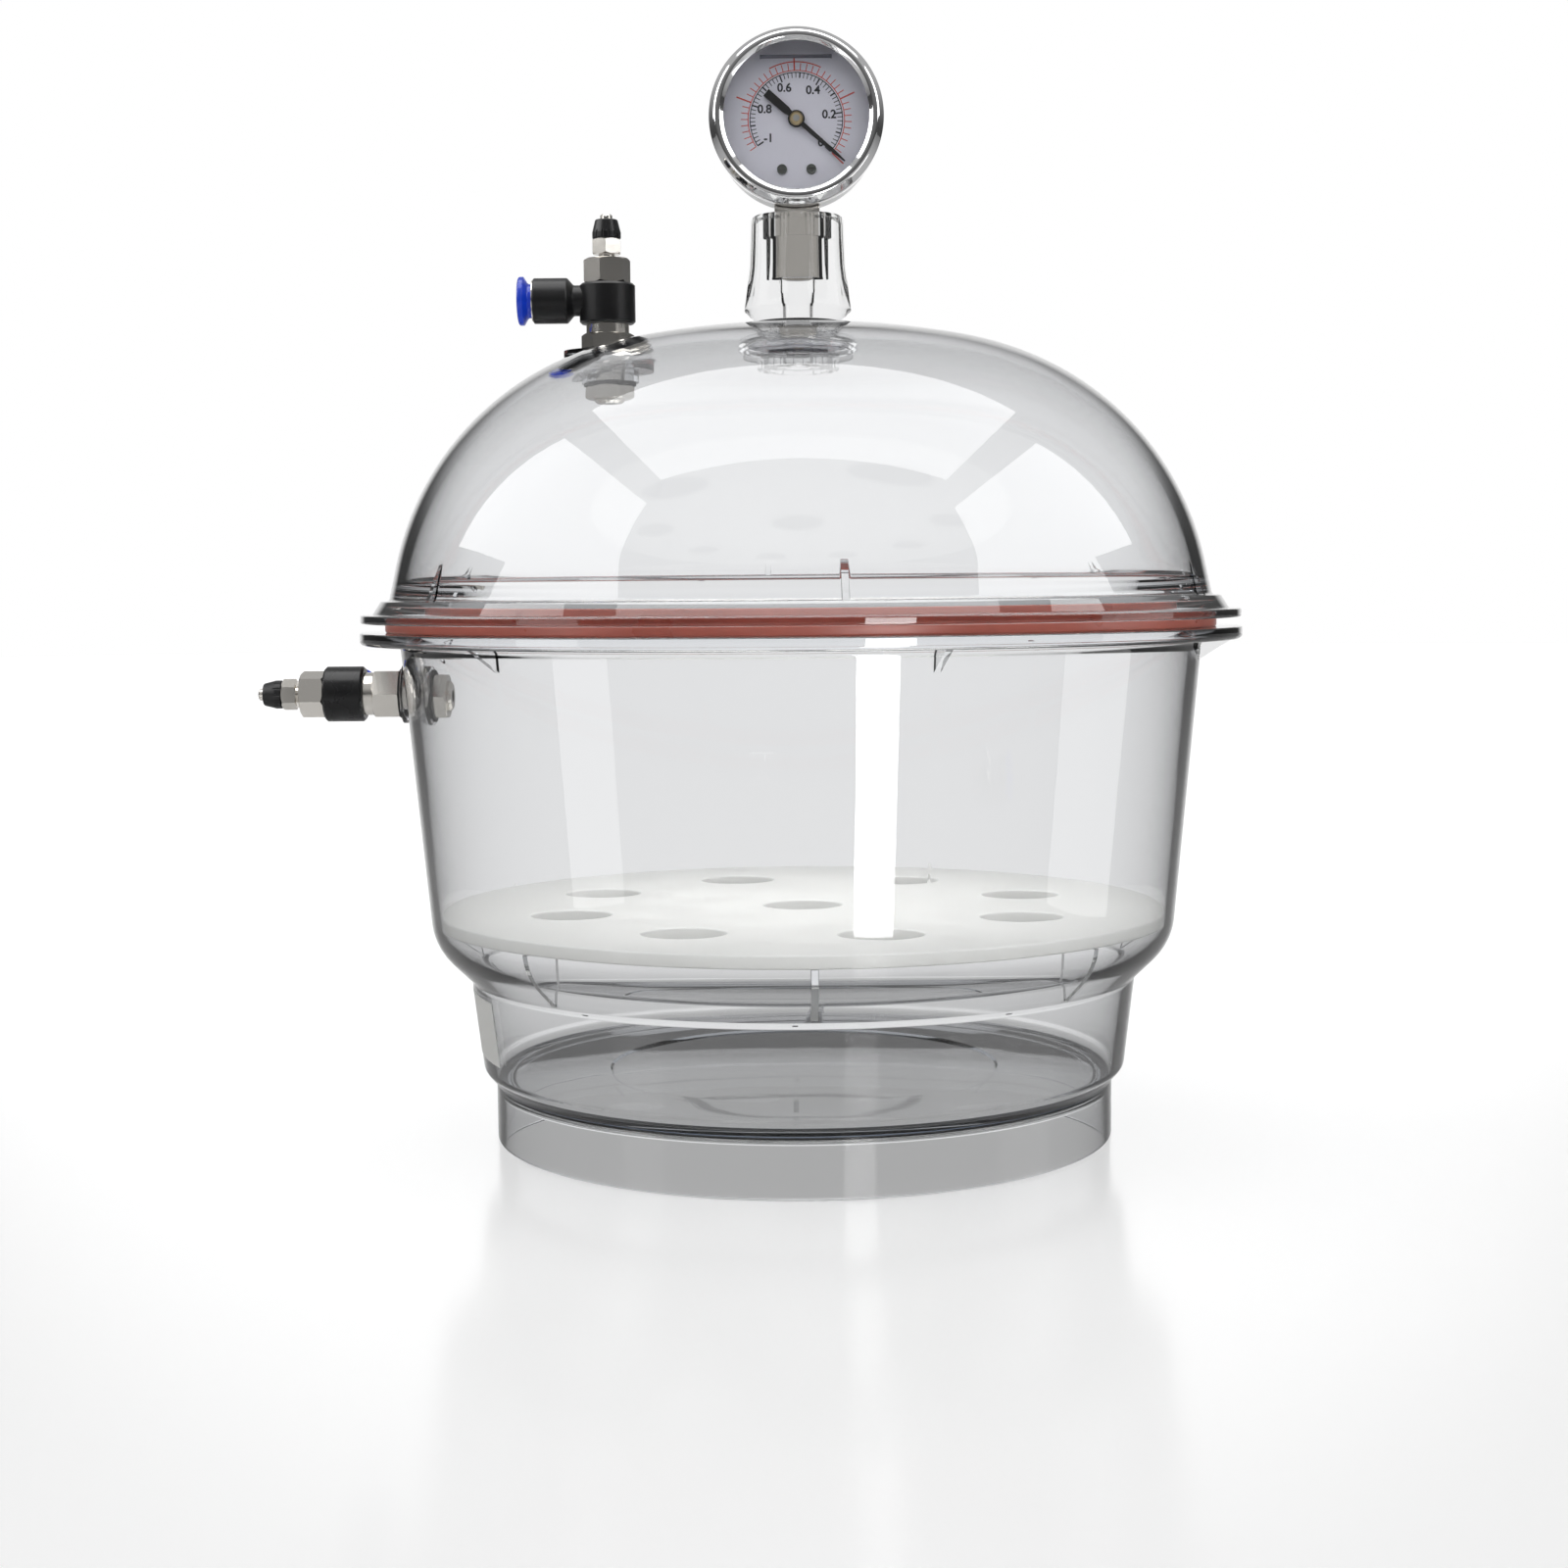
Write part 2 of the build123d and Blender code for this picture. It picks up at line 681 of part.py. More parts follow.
export_step(movement_frame.part, "parts/movement_frame.step")


# ------------------------------------------------------------------ flow valves

def flow_valve(name, seat, banjo_at, hex_turn):
    """A banjo flow valve on a wall: seat is its outer face, x towards the tube port, z outward."""
    axis = Axis(seat.origin, seat.z_dir)
    half = axial(seat)
    hex_at = banjo_at + BANJO_H
    lock_at = hex_at + HEX_H + STEM_GAP
    knob_at = lock_at + LOCK_NUT_H
    collar_at = banjo_at - 3.0

    with BuildPart() as wall_seal:
        revolve(ring_section(half, WALL_HOLE_R, 7.8, 0, WALL_SEAL), axis=axis)
    wall_seal.part.label = f"{name}_wall_seal"
    export_step(wall_seal.part, f"parts/{name}_wall_seal.step")

    with BuildPart() as wall_nut:
        add(chamfered_hex(seat, NUT_AF, WALL_SEAL, collar_at))
        with BuildSketch(seat):
            Circle(THREAD_HOLE_R)
        extrude(amount=collar_at, mode=Mode.SUBTRACT)
    wall_nut.part.label = f"{name}_wall_nut"
    export_step(wall_nut.part, f"parts/{name}_wall_nut.step")

    inner_face = -VALVE_WALL - WALL_SEAL
    with BuildPart() as inner_seal:
        revolve(ring_section(half, WALL_HOLE_R, 8.4, inner_face, -VALVE_WALL), axis=axis)
    inner_seal.part.label = f"{name}_inner_seal"
    export_step(inner_seal.part, f"parts/{name}_inner_seal.step")

    with BuildPart() as inner_nut:
        add(chamfered_hex(seat, 13.6, inner_face - INNER_NUT, inner_face, both_ends=True))
        with BuildSketch(seat.offset(inner_face)):
            Circle(THREAD_HOLE_R)
        extrude(amount=-INNER_NUT, mode=Mode.SUBTRACT)
    inner_nut.part.label = f"{name}_inner_nut"
    export_step(inner_nut.part, f"parts/{name}_inner_nut.step")

    with BuildPart() as collar:
        # holds the swivelling body up against the stud's hexagon
        revolve(ring_section(half, THREAD_HOLE_R, COLLAR_R, collar_at, banjo_at - 0.1), axis=axis)
    collar.part.label = f"{name}_collar"
    export_step(collar.part, f"parts/{name}_collar.step")

    stud_end = inner_face - INNER_NUT - 1.4
    groove_heights = (banjo_at + 2.0, banjo_at + BANJO_H - 2.0)
    with BuildPart() as stud:
        # threaded shank, stem with two seal grooves, hexagon, stepped air passage
        stem = section(
            half,
            (0, stud_end),
            (THREAD_R - 0.8, stud_end),
            (THREAD_R, stud_end + 0.8),
            (THREAD_R, banjo_at - 0.1),
            (STEM_R, banjo_at - 0.1),
            (STEM_R, hex_at + 0.1),
            (0, hex_at + 0.1),
        )
        revolve(stem, axis=axis)
        add(chamfered_hex(seat, HEX_AF, hex_at + 0.1, hex_at + HEX_H, both_ends=True, turn=hex_turn))
        for height in groove_heights:
            revolve(ring_section(half, STEM_R - 1.0, STEM_R + 1, height - 0.55, height + 0.55), axis=axis,
                    mode=Mode.SUBTRACT)
        with BuildSketch(seat.offset(stud_end)):
            Circle(SEAT_R)
        extrude(amount=banjo_at + SEAT_RISE - stud_end, mode=Mode.SUBTRACT)
        with BuildSketch(seat.offset(banjo_at + SEAT_RISE)):
            Circle(NEEDLE_R + RUNNING)
        extrude(amount=BANJO_H + HEX_H, mode=Mode.SUBTRACT)
        with BuildSketch(Plane(origin=seat.origin + seat.z_dir * (banjo_at + ARM_RISE), z_dir=seat.x_dir)):
            Circle(1.5)
        extrude(amount=STEM_R + 1, both=True, mode=Mode.SUBTRACT)
    stud.part.label = f"{name}_stud"
    export_step(stud.part, f"parts/{name}_stud.step")

    with BuildPart() as o_rings:
        for height in groove_heights:
            with BuildSketch(half):
                with Locations((STEM_R - 0.5, height)):
                    Circle(0.5)
            revolve(axis=axis)
    o_rings.part.label = f"{name}_o_rings"
    export_step(o_rings.part, f"parts/{name}_o_rings.step")

    # the arm's own seat: z along the arm
    arm = Plane(
        origin=seat.origin + seat.z_dir * (banjo_at + ARM_RISE),
        x_dir=seat.z_dir,
        z_dir=seat.x_dir,
    )
    arm_axis = Axis(arm.origin, arm.z_dir)
    arm_half = axial(arm)
    with BuildPart() as banjo:
        eye = section(
            half,
            (0, banjo_at),
            (BANJO_R - 0.7, banjo_at),
            (BANJO_R, banjo_at + 0.7),
            (BANJO_R, hex_at - 0.7),
            (BANJO_R - 0.7, hex_at),
            (0, hex_at),
        )
        revolve(eye, axis=axis)
        barrel = rounded_section(
            arm_half,
            [
                (0, 2.0),
                (4.8, 2.0),
                (4.8, BARREL_START - 2.0),
                (BARREL_R, BARREL_START),
                (BARREL_R, BARREL_END),
                (0, BARREL_END),
            ],
            [0, 0, 0.8, 0.8, 0.5, 0],
        )
        revolve(barrel, axis=arm_axis)
        # bore for the stud, with an air gallery round its ports
        bore = section(
            half,
            (0, banjo_at - 1),
            (STEM_R + RUNNING, banjo_at - 1),
            (STEM_R + RUNNING, banjo_at + 4.8),
            (STEM_R + 1.3, banjo_at + 4.8),
            (STEM_R + 1.3, banjo_at + 9.8),
            (STEM_R + RUNNING, banjo_at + 9.8),
            (STEM_R + RUNNING, hex_at + 1),
            (0, hex_at + 1),
        )
        revolve(bore, axis=axis, mode=Mode.SUBTRACT)
        # stepped tube socket
        socket = section(
            arm_half,
            (0, STEM_R),
            (1.8, STEM_R),
            (1.8, TUBE_STOP),
            (TUBE_R, TUBE_STOP),
            (TUBE_R, TUBE_SEAT_END),
            (POCKET_R, TUBE_SEAT_END),
            (POCKET_R, POCKET_END),
            (6.5, POCKET_END),
            (6.5, BARREL_END + 1),
            (0, BARREL_END + 1),
        )
        revolve(socket, axis=arm_axis, mode=Mode.SUBTRACT)
    banjo.part.label = f"{name}_banjo"
    export_step(banjo.part, f"parts/{name}_banjo.step")

    grip_at = TUBE_SEAT_END + 1.8
    with BuildPart() as tube_seal:
        revolve(ring_section(arm_half, FREE_BORE_R, POCKET_R, TUBE_SEAT_END, grip_at), axis=arm_axis)
    tube_seal.part.label = f"{name}_tube_seal"
    export_step(tube_seal.part, f"parts/{name}_tube_seal.step")

    with BuildPart() as grip_ring:
        # toothed steel washer that bites on the tube
        with BuildSketch(arm.offset(grip_at)):
            Circle(POCKET_R)
            Circle(FREE_BORE_R, mode=Mode.SUBTRACT)
            with PolarLocations(FREE_BORE_R + 0.3, 8):
                SlotOverall(1.6, 0.5, mode=Mode.SUBTRACT)
        extrude(amount=0.4)
    grip_ring.part.label = f"{name}_grip_ring"
    export_step(grip_ring.part, f"parts/{name}_grip_ring.step")

    with BuildPart() as mouth_ring:
        revolve(ring_section(arm_half, 5.45, 6.5, POCKET_END, BARREL_END + 0.3), axis=arm_axis)
    mouth_ring.part.label = f"{name}_mouth_ring"
    export_step(mouth_ring.part, f"parts/{name}_mouth_ring.step")

    with BuildPart() as release_ring:
        # flared push ring: pressed in, it opens the teeth and frees the tube
        flare = rounded_section(
            arm_half,
            [
                (FREE_BORE_R, grip_at + 2.0),
                (5.3, grip_at + 2.0),
                (5.3, RING_END - 3.1),
                (RING_R, RING_END - 1.7),
                (RING_R, RING_END),
                (5.4, RING_END),
                (FREE_BORE_R, RING_END - 1.5),
            ],
            [0, 0.3, 1.0, 0.3, 0.7, 0.4, 0.8],
        )
        revolve(flare, axis=arm_axis)
    release_ring.part.label = f"{name}_release_ring"
    export_step(release_ring.part, f"parts/{name}_release_ring.step")

    tip = banjo_at + SEAT_RISE - 0.5
    needle_end = knob_at + KNOB_H + NEEDLE_PROUD
    with BuildPart() as needle:
        # cone on the air seat, waist at the ports, guide, tail through the knob
        spindle = section(
            half,
            (0, tip),
            (1.0, tip),
            (1.9, tip + 1.6),
            (1.9, tip + 2.2),
            (1.4, tip + 2.8),
            (1.4, banjo_at + 10.2),
            (NEEDLE_R, banjo_at + 10.9),
            (NEEDLE_R, knob_at),
            (NEEDLE_TAIL_R, knob_at),
            (NEEDLE_TAIL_R, needle_end - 0.4),
            (NEEDLE_TAIL_R - 0.4, needle_end),
            (0, needle_end),
        )
        revolve(spindle, axis=axis)
        with BuildSketch(seat.offset(needle_end - 0.8)):
            Rectangle(0.6, 5)
        extrude(amount=2, mode=Mode.SUBTRACT)
    needle.part.label = f"{name}_needle"
    export_step(needle.part, f"parts/{name}_needle.step")

    with BuildPart() as lock_nut:
        add(chamfered_hex(seat, LOCK_NUT_AF, lock_at, knob_at - 0.1, both_ends=True, turn=30))
        with BuildSketch(seat.offset(lock_at)):
            Circle(NEEDLE_R + RUNNING)
        extrude(amount=LOCK_NUT_H, mode=Mode.SUBTRACT)
    lock_nut.part.label = f"{name}_lock_nut"
    export_step(lock_nut.part, f"parts/{name}_lock_nut.step")

    with BuildPart() as knob:
        grip = rounded_section(
            half,
            [
                (NEEDLE_TAIL_R + RUNNING, knob_at + 0.05),
                (KNOB_BASE_R, knob_at + 0.05),
                (KNOB_BASE_R, knob_at + 2.0),
                (KNOB_TOP_R, knob_at + KNOB_H),
                (NEEDLE_TAIL_R + RUNNING, knob_at + KNOB_H),
            ],
            [0, 0.3, 0.5, 0.6, 0],
        )
        revolve(grip, axis=axis)
        with BuildSketch(seat.offset(knob_at)):
            with PolarLocations(KNOB_BASE_R + 0.35, 14):
                Circle(0.55)
        extrude(amount=KNOB_H + 1, mode=Mode.SUBTRACT)
    knob.part.label = f"{name}_knob"
    export_step(knob.part, f"parts/{name}_knob.step")


flow_valve("top_valve", top_seat, banjo_at=8.5, hex_turn=17)
flow_valve("side_valve", side_seat, banjo_at=12.3, hex_turn=-17)
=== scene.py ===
"""Looks of the clear vacuum chamber: polished shells, printed dial, flow valves and studio."""
import json
from math import atan2, ceil, cos, degrees, pi, radians, sin, sqrt, tan

import bmesh
import bpy
from mathutils import Matrix, Vector


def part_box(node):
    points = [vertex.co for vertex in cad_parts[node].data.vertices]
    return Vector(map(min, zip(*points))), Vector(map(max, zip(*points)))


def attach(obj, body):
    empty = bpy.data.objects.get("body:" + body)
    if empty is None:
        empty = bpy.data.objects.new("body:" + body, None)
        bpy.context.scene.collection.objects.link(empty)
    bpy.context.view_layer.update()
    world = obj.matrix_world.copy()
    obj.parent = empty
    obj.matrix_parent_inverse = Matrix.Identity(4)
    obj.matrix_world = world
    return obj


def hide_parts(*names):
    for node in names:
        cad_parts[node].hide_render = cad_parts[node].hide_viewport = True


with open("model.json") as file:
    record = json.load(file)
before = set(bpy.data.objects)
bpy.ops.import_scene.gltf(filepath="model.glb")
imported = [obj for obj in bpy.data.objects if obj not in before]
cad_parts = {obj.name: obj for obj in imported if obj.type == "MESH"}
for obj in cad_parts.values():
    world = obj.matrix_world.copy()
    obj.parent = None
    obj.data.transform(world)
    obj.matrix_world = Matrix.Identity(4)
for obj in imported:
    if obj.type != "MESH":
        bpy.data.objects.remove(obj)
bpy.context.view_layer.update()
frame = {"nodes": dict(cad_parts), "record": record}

MM = 0.001
SHELL_STEPS = 240
SMALL_STEPS = 72
CAP_STEPS = 256
BEZEL_STEPS = 160
CASE_STEPS = 144
WINDOW_STEPS = 120

# ------------------------------------------------------------------ sizes, in millimetres

FOOT_R = 98.5
FOOT_H = 18.5
FLOOR_Z = 17.0
FLOOR_THICK = 4.0
FOOT_WALL = 3.8
DRUM_R = 102.6
DRUM_FOOT_R = DRUM_R - 0.2
DRUM_FOOT_Z = FOOT_H + 4.5
DRUM_TOP_R = 105.8
DRUM_TOP_Z = 51.5
SHOULDER_R = 117.4
SHOULDER_Z = 62.8
RIM_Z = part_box("bowl")[1].z / MM
RIM_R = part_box("bowl")[1].x / MM
RIM_THICK = 3.8
MOUTH_R = 125.0
WALL_POINT_R, WALL_POINT_Z = 125.9, 154.0  # on the outside of the tapered wall
WELL_R = 62.0
WELL_DEPTH = 0.7
PLATE_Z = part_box("partition_plate")[0].z / MM
RIB_COUNT = 8
RIB_START = -88.4
GUSSET_COUNT = 6
BOWL_GUSSET_START = -73
WEB_THICK = 2.0
SIDE_BOSS_R = 9.5

LABEL_LOW_Z = 28.5
LABEL_HIGH_Z = 48.5
LABEL_START = -64
LABEL_SWEEP = -24
LABEL_STEPS = 32
LABEL_INSIDE = 0.02
LABEL_OUTSIDE = 0.14

LID_RIM_R = 138.2
LID_RIM_Z = 163.7
LID_RIM_THICK = 2.6
CHANNEL_TOP = 170.5
GROOVE_TOP = 168.0
GROOVE_INNER_R = 125.0
GROOVE_OUTER_R = 130.7
LIP_R = 122.8
WALL = 4.0
WALL_DRAFT = radians(12.5)
CORNER_R = 90.4
CORNER_X = 38.6
CROWN_R = 280.0
CROWN_Z = -23.7
CAP_SEAT_Z = 255.9
CAP_PAD_Z = 251.6
CAP_HOLE_R = 10.0
CAP_PAD_R = 19
LID_GUSSET_START = -84.7
VALVE_PAD_R = 14
VALVE_PAD_THICK = 4
TOP_BOSS_R = 9.2
SEAL_GAP = 0.06
SEAL_SIDE_GAP = 0.1

PLATE_R = 115
PLATE_HOLES = 8
PLATE_HOLE_R = 12.5
PLATE_HOLE_PCR = 75.5
PLATE_HOLE_START = -72.5
PLATE_BEVEL = 0.6

CAP_SEAL_THICK = 1.2
CAP_TOP = 289.9
SPIGOT_R = 9.7
SPIGOT_END = 245.0
CAP_BORE_R = 4.0
POCKET_R = 8.05
POCKET_FLOOR_Z = 269.9
HEX_POCKET_R = 8.9
HEX_POCKET_Z = 283.0
FLUTES = 8
FLUTE_TURN = 67.5
FLUTE_DEPTH = 1.5
FLUTE_LOW_Z = 262
FLUTE_RUN_IN = 5
FLUTE_MIN_R = 13.5

GAUGE_Z = 318.4
SOCKET_HALF = 7.1
FILLER_R = 3.6
TOP_SEAT = Vector((-60.0, 0.0, 248.5))
SIDE_SEAT = Vector((-126.8, 0.0, 141.0))
VALVE_WALL = 8.0
WALL_HOLE_R = 5.1
CUT_PAST = 3  # how far a cutting tool stands past the face it opens


# ------------------------------------------------------------------ mesh helpers

def seat_matrix(origin, out, along):
    """A frame in millimetres whose z points out of a seat and whose x points along."""
    z = Vector(out).normalized()
    x = Vector(along).normalized()
    y = z.cross(x)
    turn = Matrix((x, y, z)).transposed().to_4x4()
    return Matrix.Translation(Vector(origin)) @ turn


UPRIGHT = Matrix.Identity(4)
FACE = seat_matrix((0, 0, GAUGE_Z), (0, -1, 0), (1, 0, 0))


def new_object(name, mesh):
    piece = bpy.data.objects.new(name, mesh)
    bpy.context.scene.collection.objects.link(piece)
    return piece


def finish_mesh(name, bm, seat, sharp=32):
    """Turns a bmesh in millimetres into an object in metres, smooth apart from its sharp edges."""
    bmesh.ops.remove_doubles(bm, verts=bm.verts, dist=1e-5)
    bmesh.ops.transform(bm, matrix=Matrix.Scale(MM, 4) @ seat, verts=bm.verts)
    bmesh.ops.recalc_face_normals(bm, faces=bm.faces)
    mesh = bpy.data.meshes.new(name)
    bm.to_mesh(mesh)
    bm.free()
    smooth(mesh, sharp)
    return new_object(name, mesh)


def smooth(mesh, sharp=32):
    for polygon in mesh.polygons:
        polygon.use_smooth = True
    mesh.set_sharp_from_angle(angle=radians(sharp))


def rounded(outline, radii, step=10):
    """A closed outline with each corner rounded to its own radius."""
    points = []
    for i, (corner, radius) in enumerate(zip(outline, radii)):
        corner = Vector(corner)
        if not radius:
            points.append(tuple(corner))
            continue
        before = (Vector(outline[i - 1]) - corner).normalized()
        after = (Vector(outline[(i + 1) % len(outline)]) - corner).normalized()
        half = before.angle(after) / 2
        centre = corner + (before + after).normalized() * (radius / sin(half))
        first = corner + before * (radius / tan(half)) - centre
        last = corner + after * (radius / tan(half)) - centre
        sweep = atan2(first.x * last.y - first.y * last.x, first.dot(last))
        steps = max(2, ceil(abs(degrees(sweep)) / step))
        for k in range(steps + 1):
            turn = sweep * k / steps
            points.append((
                centre.x + first.x * cos(turn) - first.y * sin(turn),
                centre.y + first.x * sin(turn) + first.y * cos(turn),
            ))
    return points


def lathe(name, outline, seat=UPRIGHT, steps=SMALL_STEPS, swell=None, sharp=32):
    """A solid turned about the seat's z from closed (radius, height) points.

    swell(angle, r, z), where given, reshapes each point's radius.
    """
    bm = bmesh.new()
    rings = []
    for r, z in outline:
        if r < 1e-6:
            rings.append([bm.verts.new((0, 0, z))])
            continue
        ring = []
        for k in range(steps):
            angle = 2 * pi * k / steps
            reach = swell(angle, r, z) if swell else r
            ring.append(bm.verts.new((reach * cos(angle), reach * sin(angle), z)))
        rings.append(ring)
    for ring, following in zip(rings, rings[1:] + rings[:1]):
        if len(ring) == 1 and len(following) == 1:
            continue
        for k in range(steps):
            after = (k + 1) % steps
            if len(ring) == 1:
                bm.faces.new((ring[0], following[after], following[k]))
            elif len(following) == 1:
                bm.faces.new((ring[k], ring[after], following[0]))
            else:
                bm.faces.new((ring[k], ring[after], following[after], following[k]))
    return finish_mesh(name, bm, seat, sharp)


def prism(name, points, low, high, seat=UPRIGHT):
    """A straight prism on a seat's xy plane from low to high."""
    bm = bmesh.new()
    floor = [bm.verts.new((x, y, low)) for x, y in points]
    roof = [bm.verts.new((x, y, high)) for x, y in points]
    bm.faces.new(list(reversed(floor)))
    bm.faces.new(roof)
    for k in range(len(points)):
        after = (k + 1) % len(points)
        bm.faces.new((floor[k], floor[after], roof[after], roof[k]))
    return finish_mesh(name, bm, seat)


def mesh_from_curve(name, shape):
    """The mesh of a filled curve or of text."""
    source = bpy.data.objects.new(name, shape)
    bpy.context.scene.collection.objects.link(source)
    graph = bpy.context.evaluated_depsgraph_get()
    mesh = bpy.data.meshes.new_from_object(source.evaluated_get(graph))
    bpy.data.objects.remove(source)
    return mesh


def combine(piece, tools, operation="UNION"):
    """Adds the tools to a piece, or cuts them from it, and removes them."""
    for tool in tools:
        step = piece.modifiers.new("step", "BOOLEAN")
        step.operation = operation
        step.solver = "EXACT"
        step.object = tool
    graph = bpy.context.evaluated_depsgraph_get()
    graph.update()
    mesh = bpy.data.meshes.new_from_object(piece.evaluated_get(graph))
    piece.modifiers.clear()
    piece.data = mesh
    smooth(mesh)
    for tool in tools:
        bpy.data.objects.remove(tool)
    return piece


def web(name, points, angle):
    """A flat web standing on a half plane at an angle from +X, from (radius, height) points."""
    side = radians(angle)
    seat = seat_matrix((0, 0, 0), (sin(side), -cos(side), 0), (cos(side), sin(side), 0))
    return prism(name, points, -WEB_THICK / 2, WEB_THICK / 2, seat)


def webs(name, points, start, count):
    """The same web repeated evenly round the axis."""
    return [web(name, points, start + k * (360 / count)) for k in range(count)]


def circle(radius, count=SMALL_STEPS, centre=(0, 0)):
    turns = [2 * pi * k / count for k in range(count)]
    return [(centre[0] + radius * cos(a), centre[1] + radius * sin(a)) for a in turns]


# ------------------------------------------------------------------ materials

def new_material(name):
    material = bpy.data.materials.new(name)
    material.use_nodes = True
    nodes = material.node_tree.nodes
    return material, nodes, material.node_tree.links, nodes["Principled BSDF"]


def noise(nodes, links, scale, detail):
    """The level of a noise texture in object space."""
    place = nodes.new("ShaderNodeTexCoord")
    made = nodes.new("ShaderNodeTexNoise")
    links.new(place.outputs["Object"], made.inputs["Vector"])
    made.inputs["Scale"].default_value = scale
    made.inputs["Detail"].default_value = detail
    return made.outputs["Fac"]


def bump(nodes, links, shader, source, distance, strength=0.5):
    height = nodes.new("ShaderNodeBump")
    height.inputs["Distance"].default_value = distance
    height.inputs["Strength"].default_value = strength
    links.new(source, height.inputs["Height"])
    links.new(height.outputs["Normal"], shader.inputs["Normal"])


def spread(nodes, links, source, low, high):
    """Maps the middle of a noise, 0.3 to 0.7, onto a range."""
    span = nodes.new("ShaderNodeMapRange")
    span.inputs["From Min"].default_value = 0.3
    span.inputs["From Max"].default_value = 0.7
    span.inputs["To Min"].default_value = low
    span.inputs["To Max"].default_value = high
    links.new(source, span.inputs["Value"])
    return span.outputs["Result"]


def feed(tree, value, socket):
    """Sets a socket to a number, or links an output to it."""
    if isinstance(value, (int, float)):
        socket.default_value = value
    else:
        tree.links.new(value, socket)


def choose(tree, test, yes, no):
    """Yes where the test is 1, no where it is 0."""
    mix = tree.nodes.new("ShaderNodeMix")
    feed(tree, test, mix.inputs["Factor"])
    feed(tree, no, mix.inputs["A"])
    feed(tree, yes, mix.inputs["B"])
    return mix.outputs["Result"]


def sums(tree, operation, first, second):
    """The result of one Math node."""
    made = tree.nodes.new("ShaderNodeMath")
    made.operation = operation
    feed(tree, first, made.inputs[0])
    feed(tree, second, made.inputs[1])
    return made.outputs["Value"]


def ramp(tree, value, start, end, low, high):
    """Low up to start, high from end, and a smooth step between them."""
    made = tree.nodes.new("ShaderNodeMapRange")
    made.interpolation_type = "SMOOTHSTEP"
    made.inputs["From Min"].default_value = start
    made.inputs["From Max"].default_value = end
    made.inputs["To Min"].default_value = low
    made.inputs["To Max"].default_value = high
    tree.links.new(value, made.inputs["Value"])
    return made.outputs["Result"]


def clear(name, density, tint=(0.80, 0.84, 0.90), ior=1.5, rough=(0.0, 0.03)):
    """Clear moulded plastic: refracts, and darkens with the thickness looked through."""
    material, nodes, links, shader = new_material(name)
    shader.inputs["Base Color"].default_value = (1, 1, 1, 1)
    shader.inputs["Transmission Weight"].default_value = 1.0
    shader.inputs["IOR"].default_value = ior
    smudge = noise(nodes, links, 14, 6)
    links.new(spread(nodes, links, smudge, *rough), shader.inputs["Roughness"])
    bump(nodes, links, shader, noise(nodes, links, 18, 2), 0.0004, 0.25)
    depth = nodes.new("ShaderNodeVolumeAbsorption")
    depth.inputs["Color"].default_value = (*tint, 1)
    depth.inputs["Density"].default_value = density
    links.new(depth.outputs["Volume"], nodes["Material Output"].inputs["Volume"])
    return material


def plain(
    name, colour, rough, grain, variation, depth=0.00002, metal=0.0, coat=0.0, specular=0.5
):
    """A moulded, painted or plated finish with fine grain and slight changes of colour."""
    material, nodes, links, shader = new_material(name)
    shader.inputs["Metallic"].default_value = metal
    shader.inputs["Coat Weight"].default_value = coat
    shader.inputs["Specular IOR Level"].default_value = specular
    blotch = noise(nodes, links, grain / 12, 5)
    mix = nodes.new("ShaderNodeMix")
    mix.data_type = "RGBA"
    mix.inputs["A"].default_value = (*[c * (1 - variation) for c in colour], 1)
    mix.inputs["B"].default_value = (*[min(1, c * (1 + variation)) for c in colour], 1)
    links.new(blotch, mix.inputs["Factor"])
    links.new(mix.outputs["Result"], shader.inputs["Base Color"])
    gloss = spread(nodes, links, blotch, rough * 0.8, rough * 1.25)
    links.new(gloss, shader.inputs["Roughness"])
    bump(nodes, links, shader, noise(nodes, links, grain, 3), depth)
    return material


def silicone(name, colour):
    material = plain(name, colour, 0.32, 500, 0.18, 0.00003)
    shader = material.node_tree.nodes["Principled BSDF"]
    shader.inputs["Subsurface Weight"].default_value = 0.15
    shader.inputs["Subsurface Radius"].default_value = (0.004, 0.0015, 0.001)
    return material


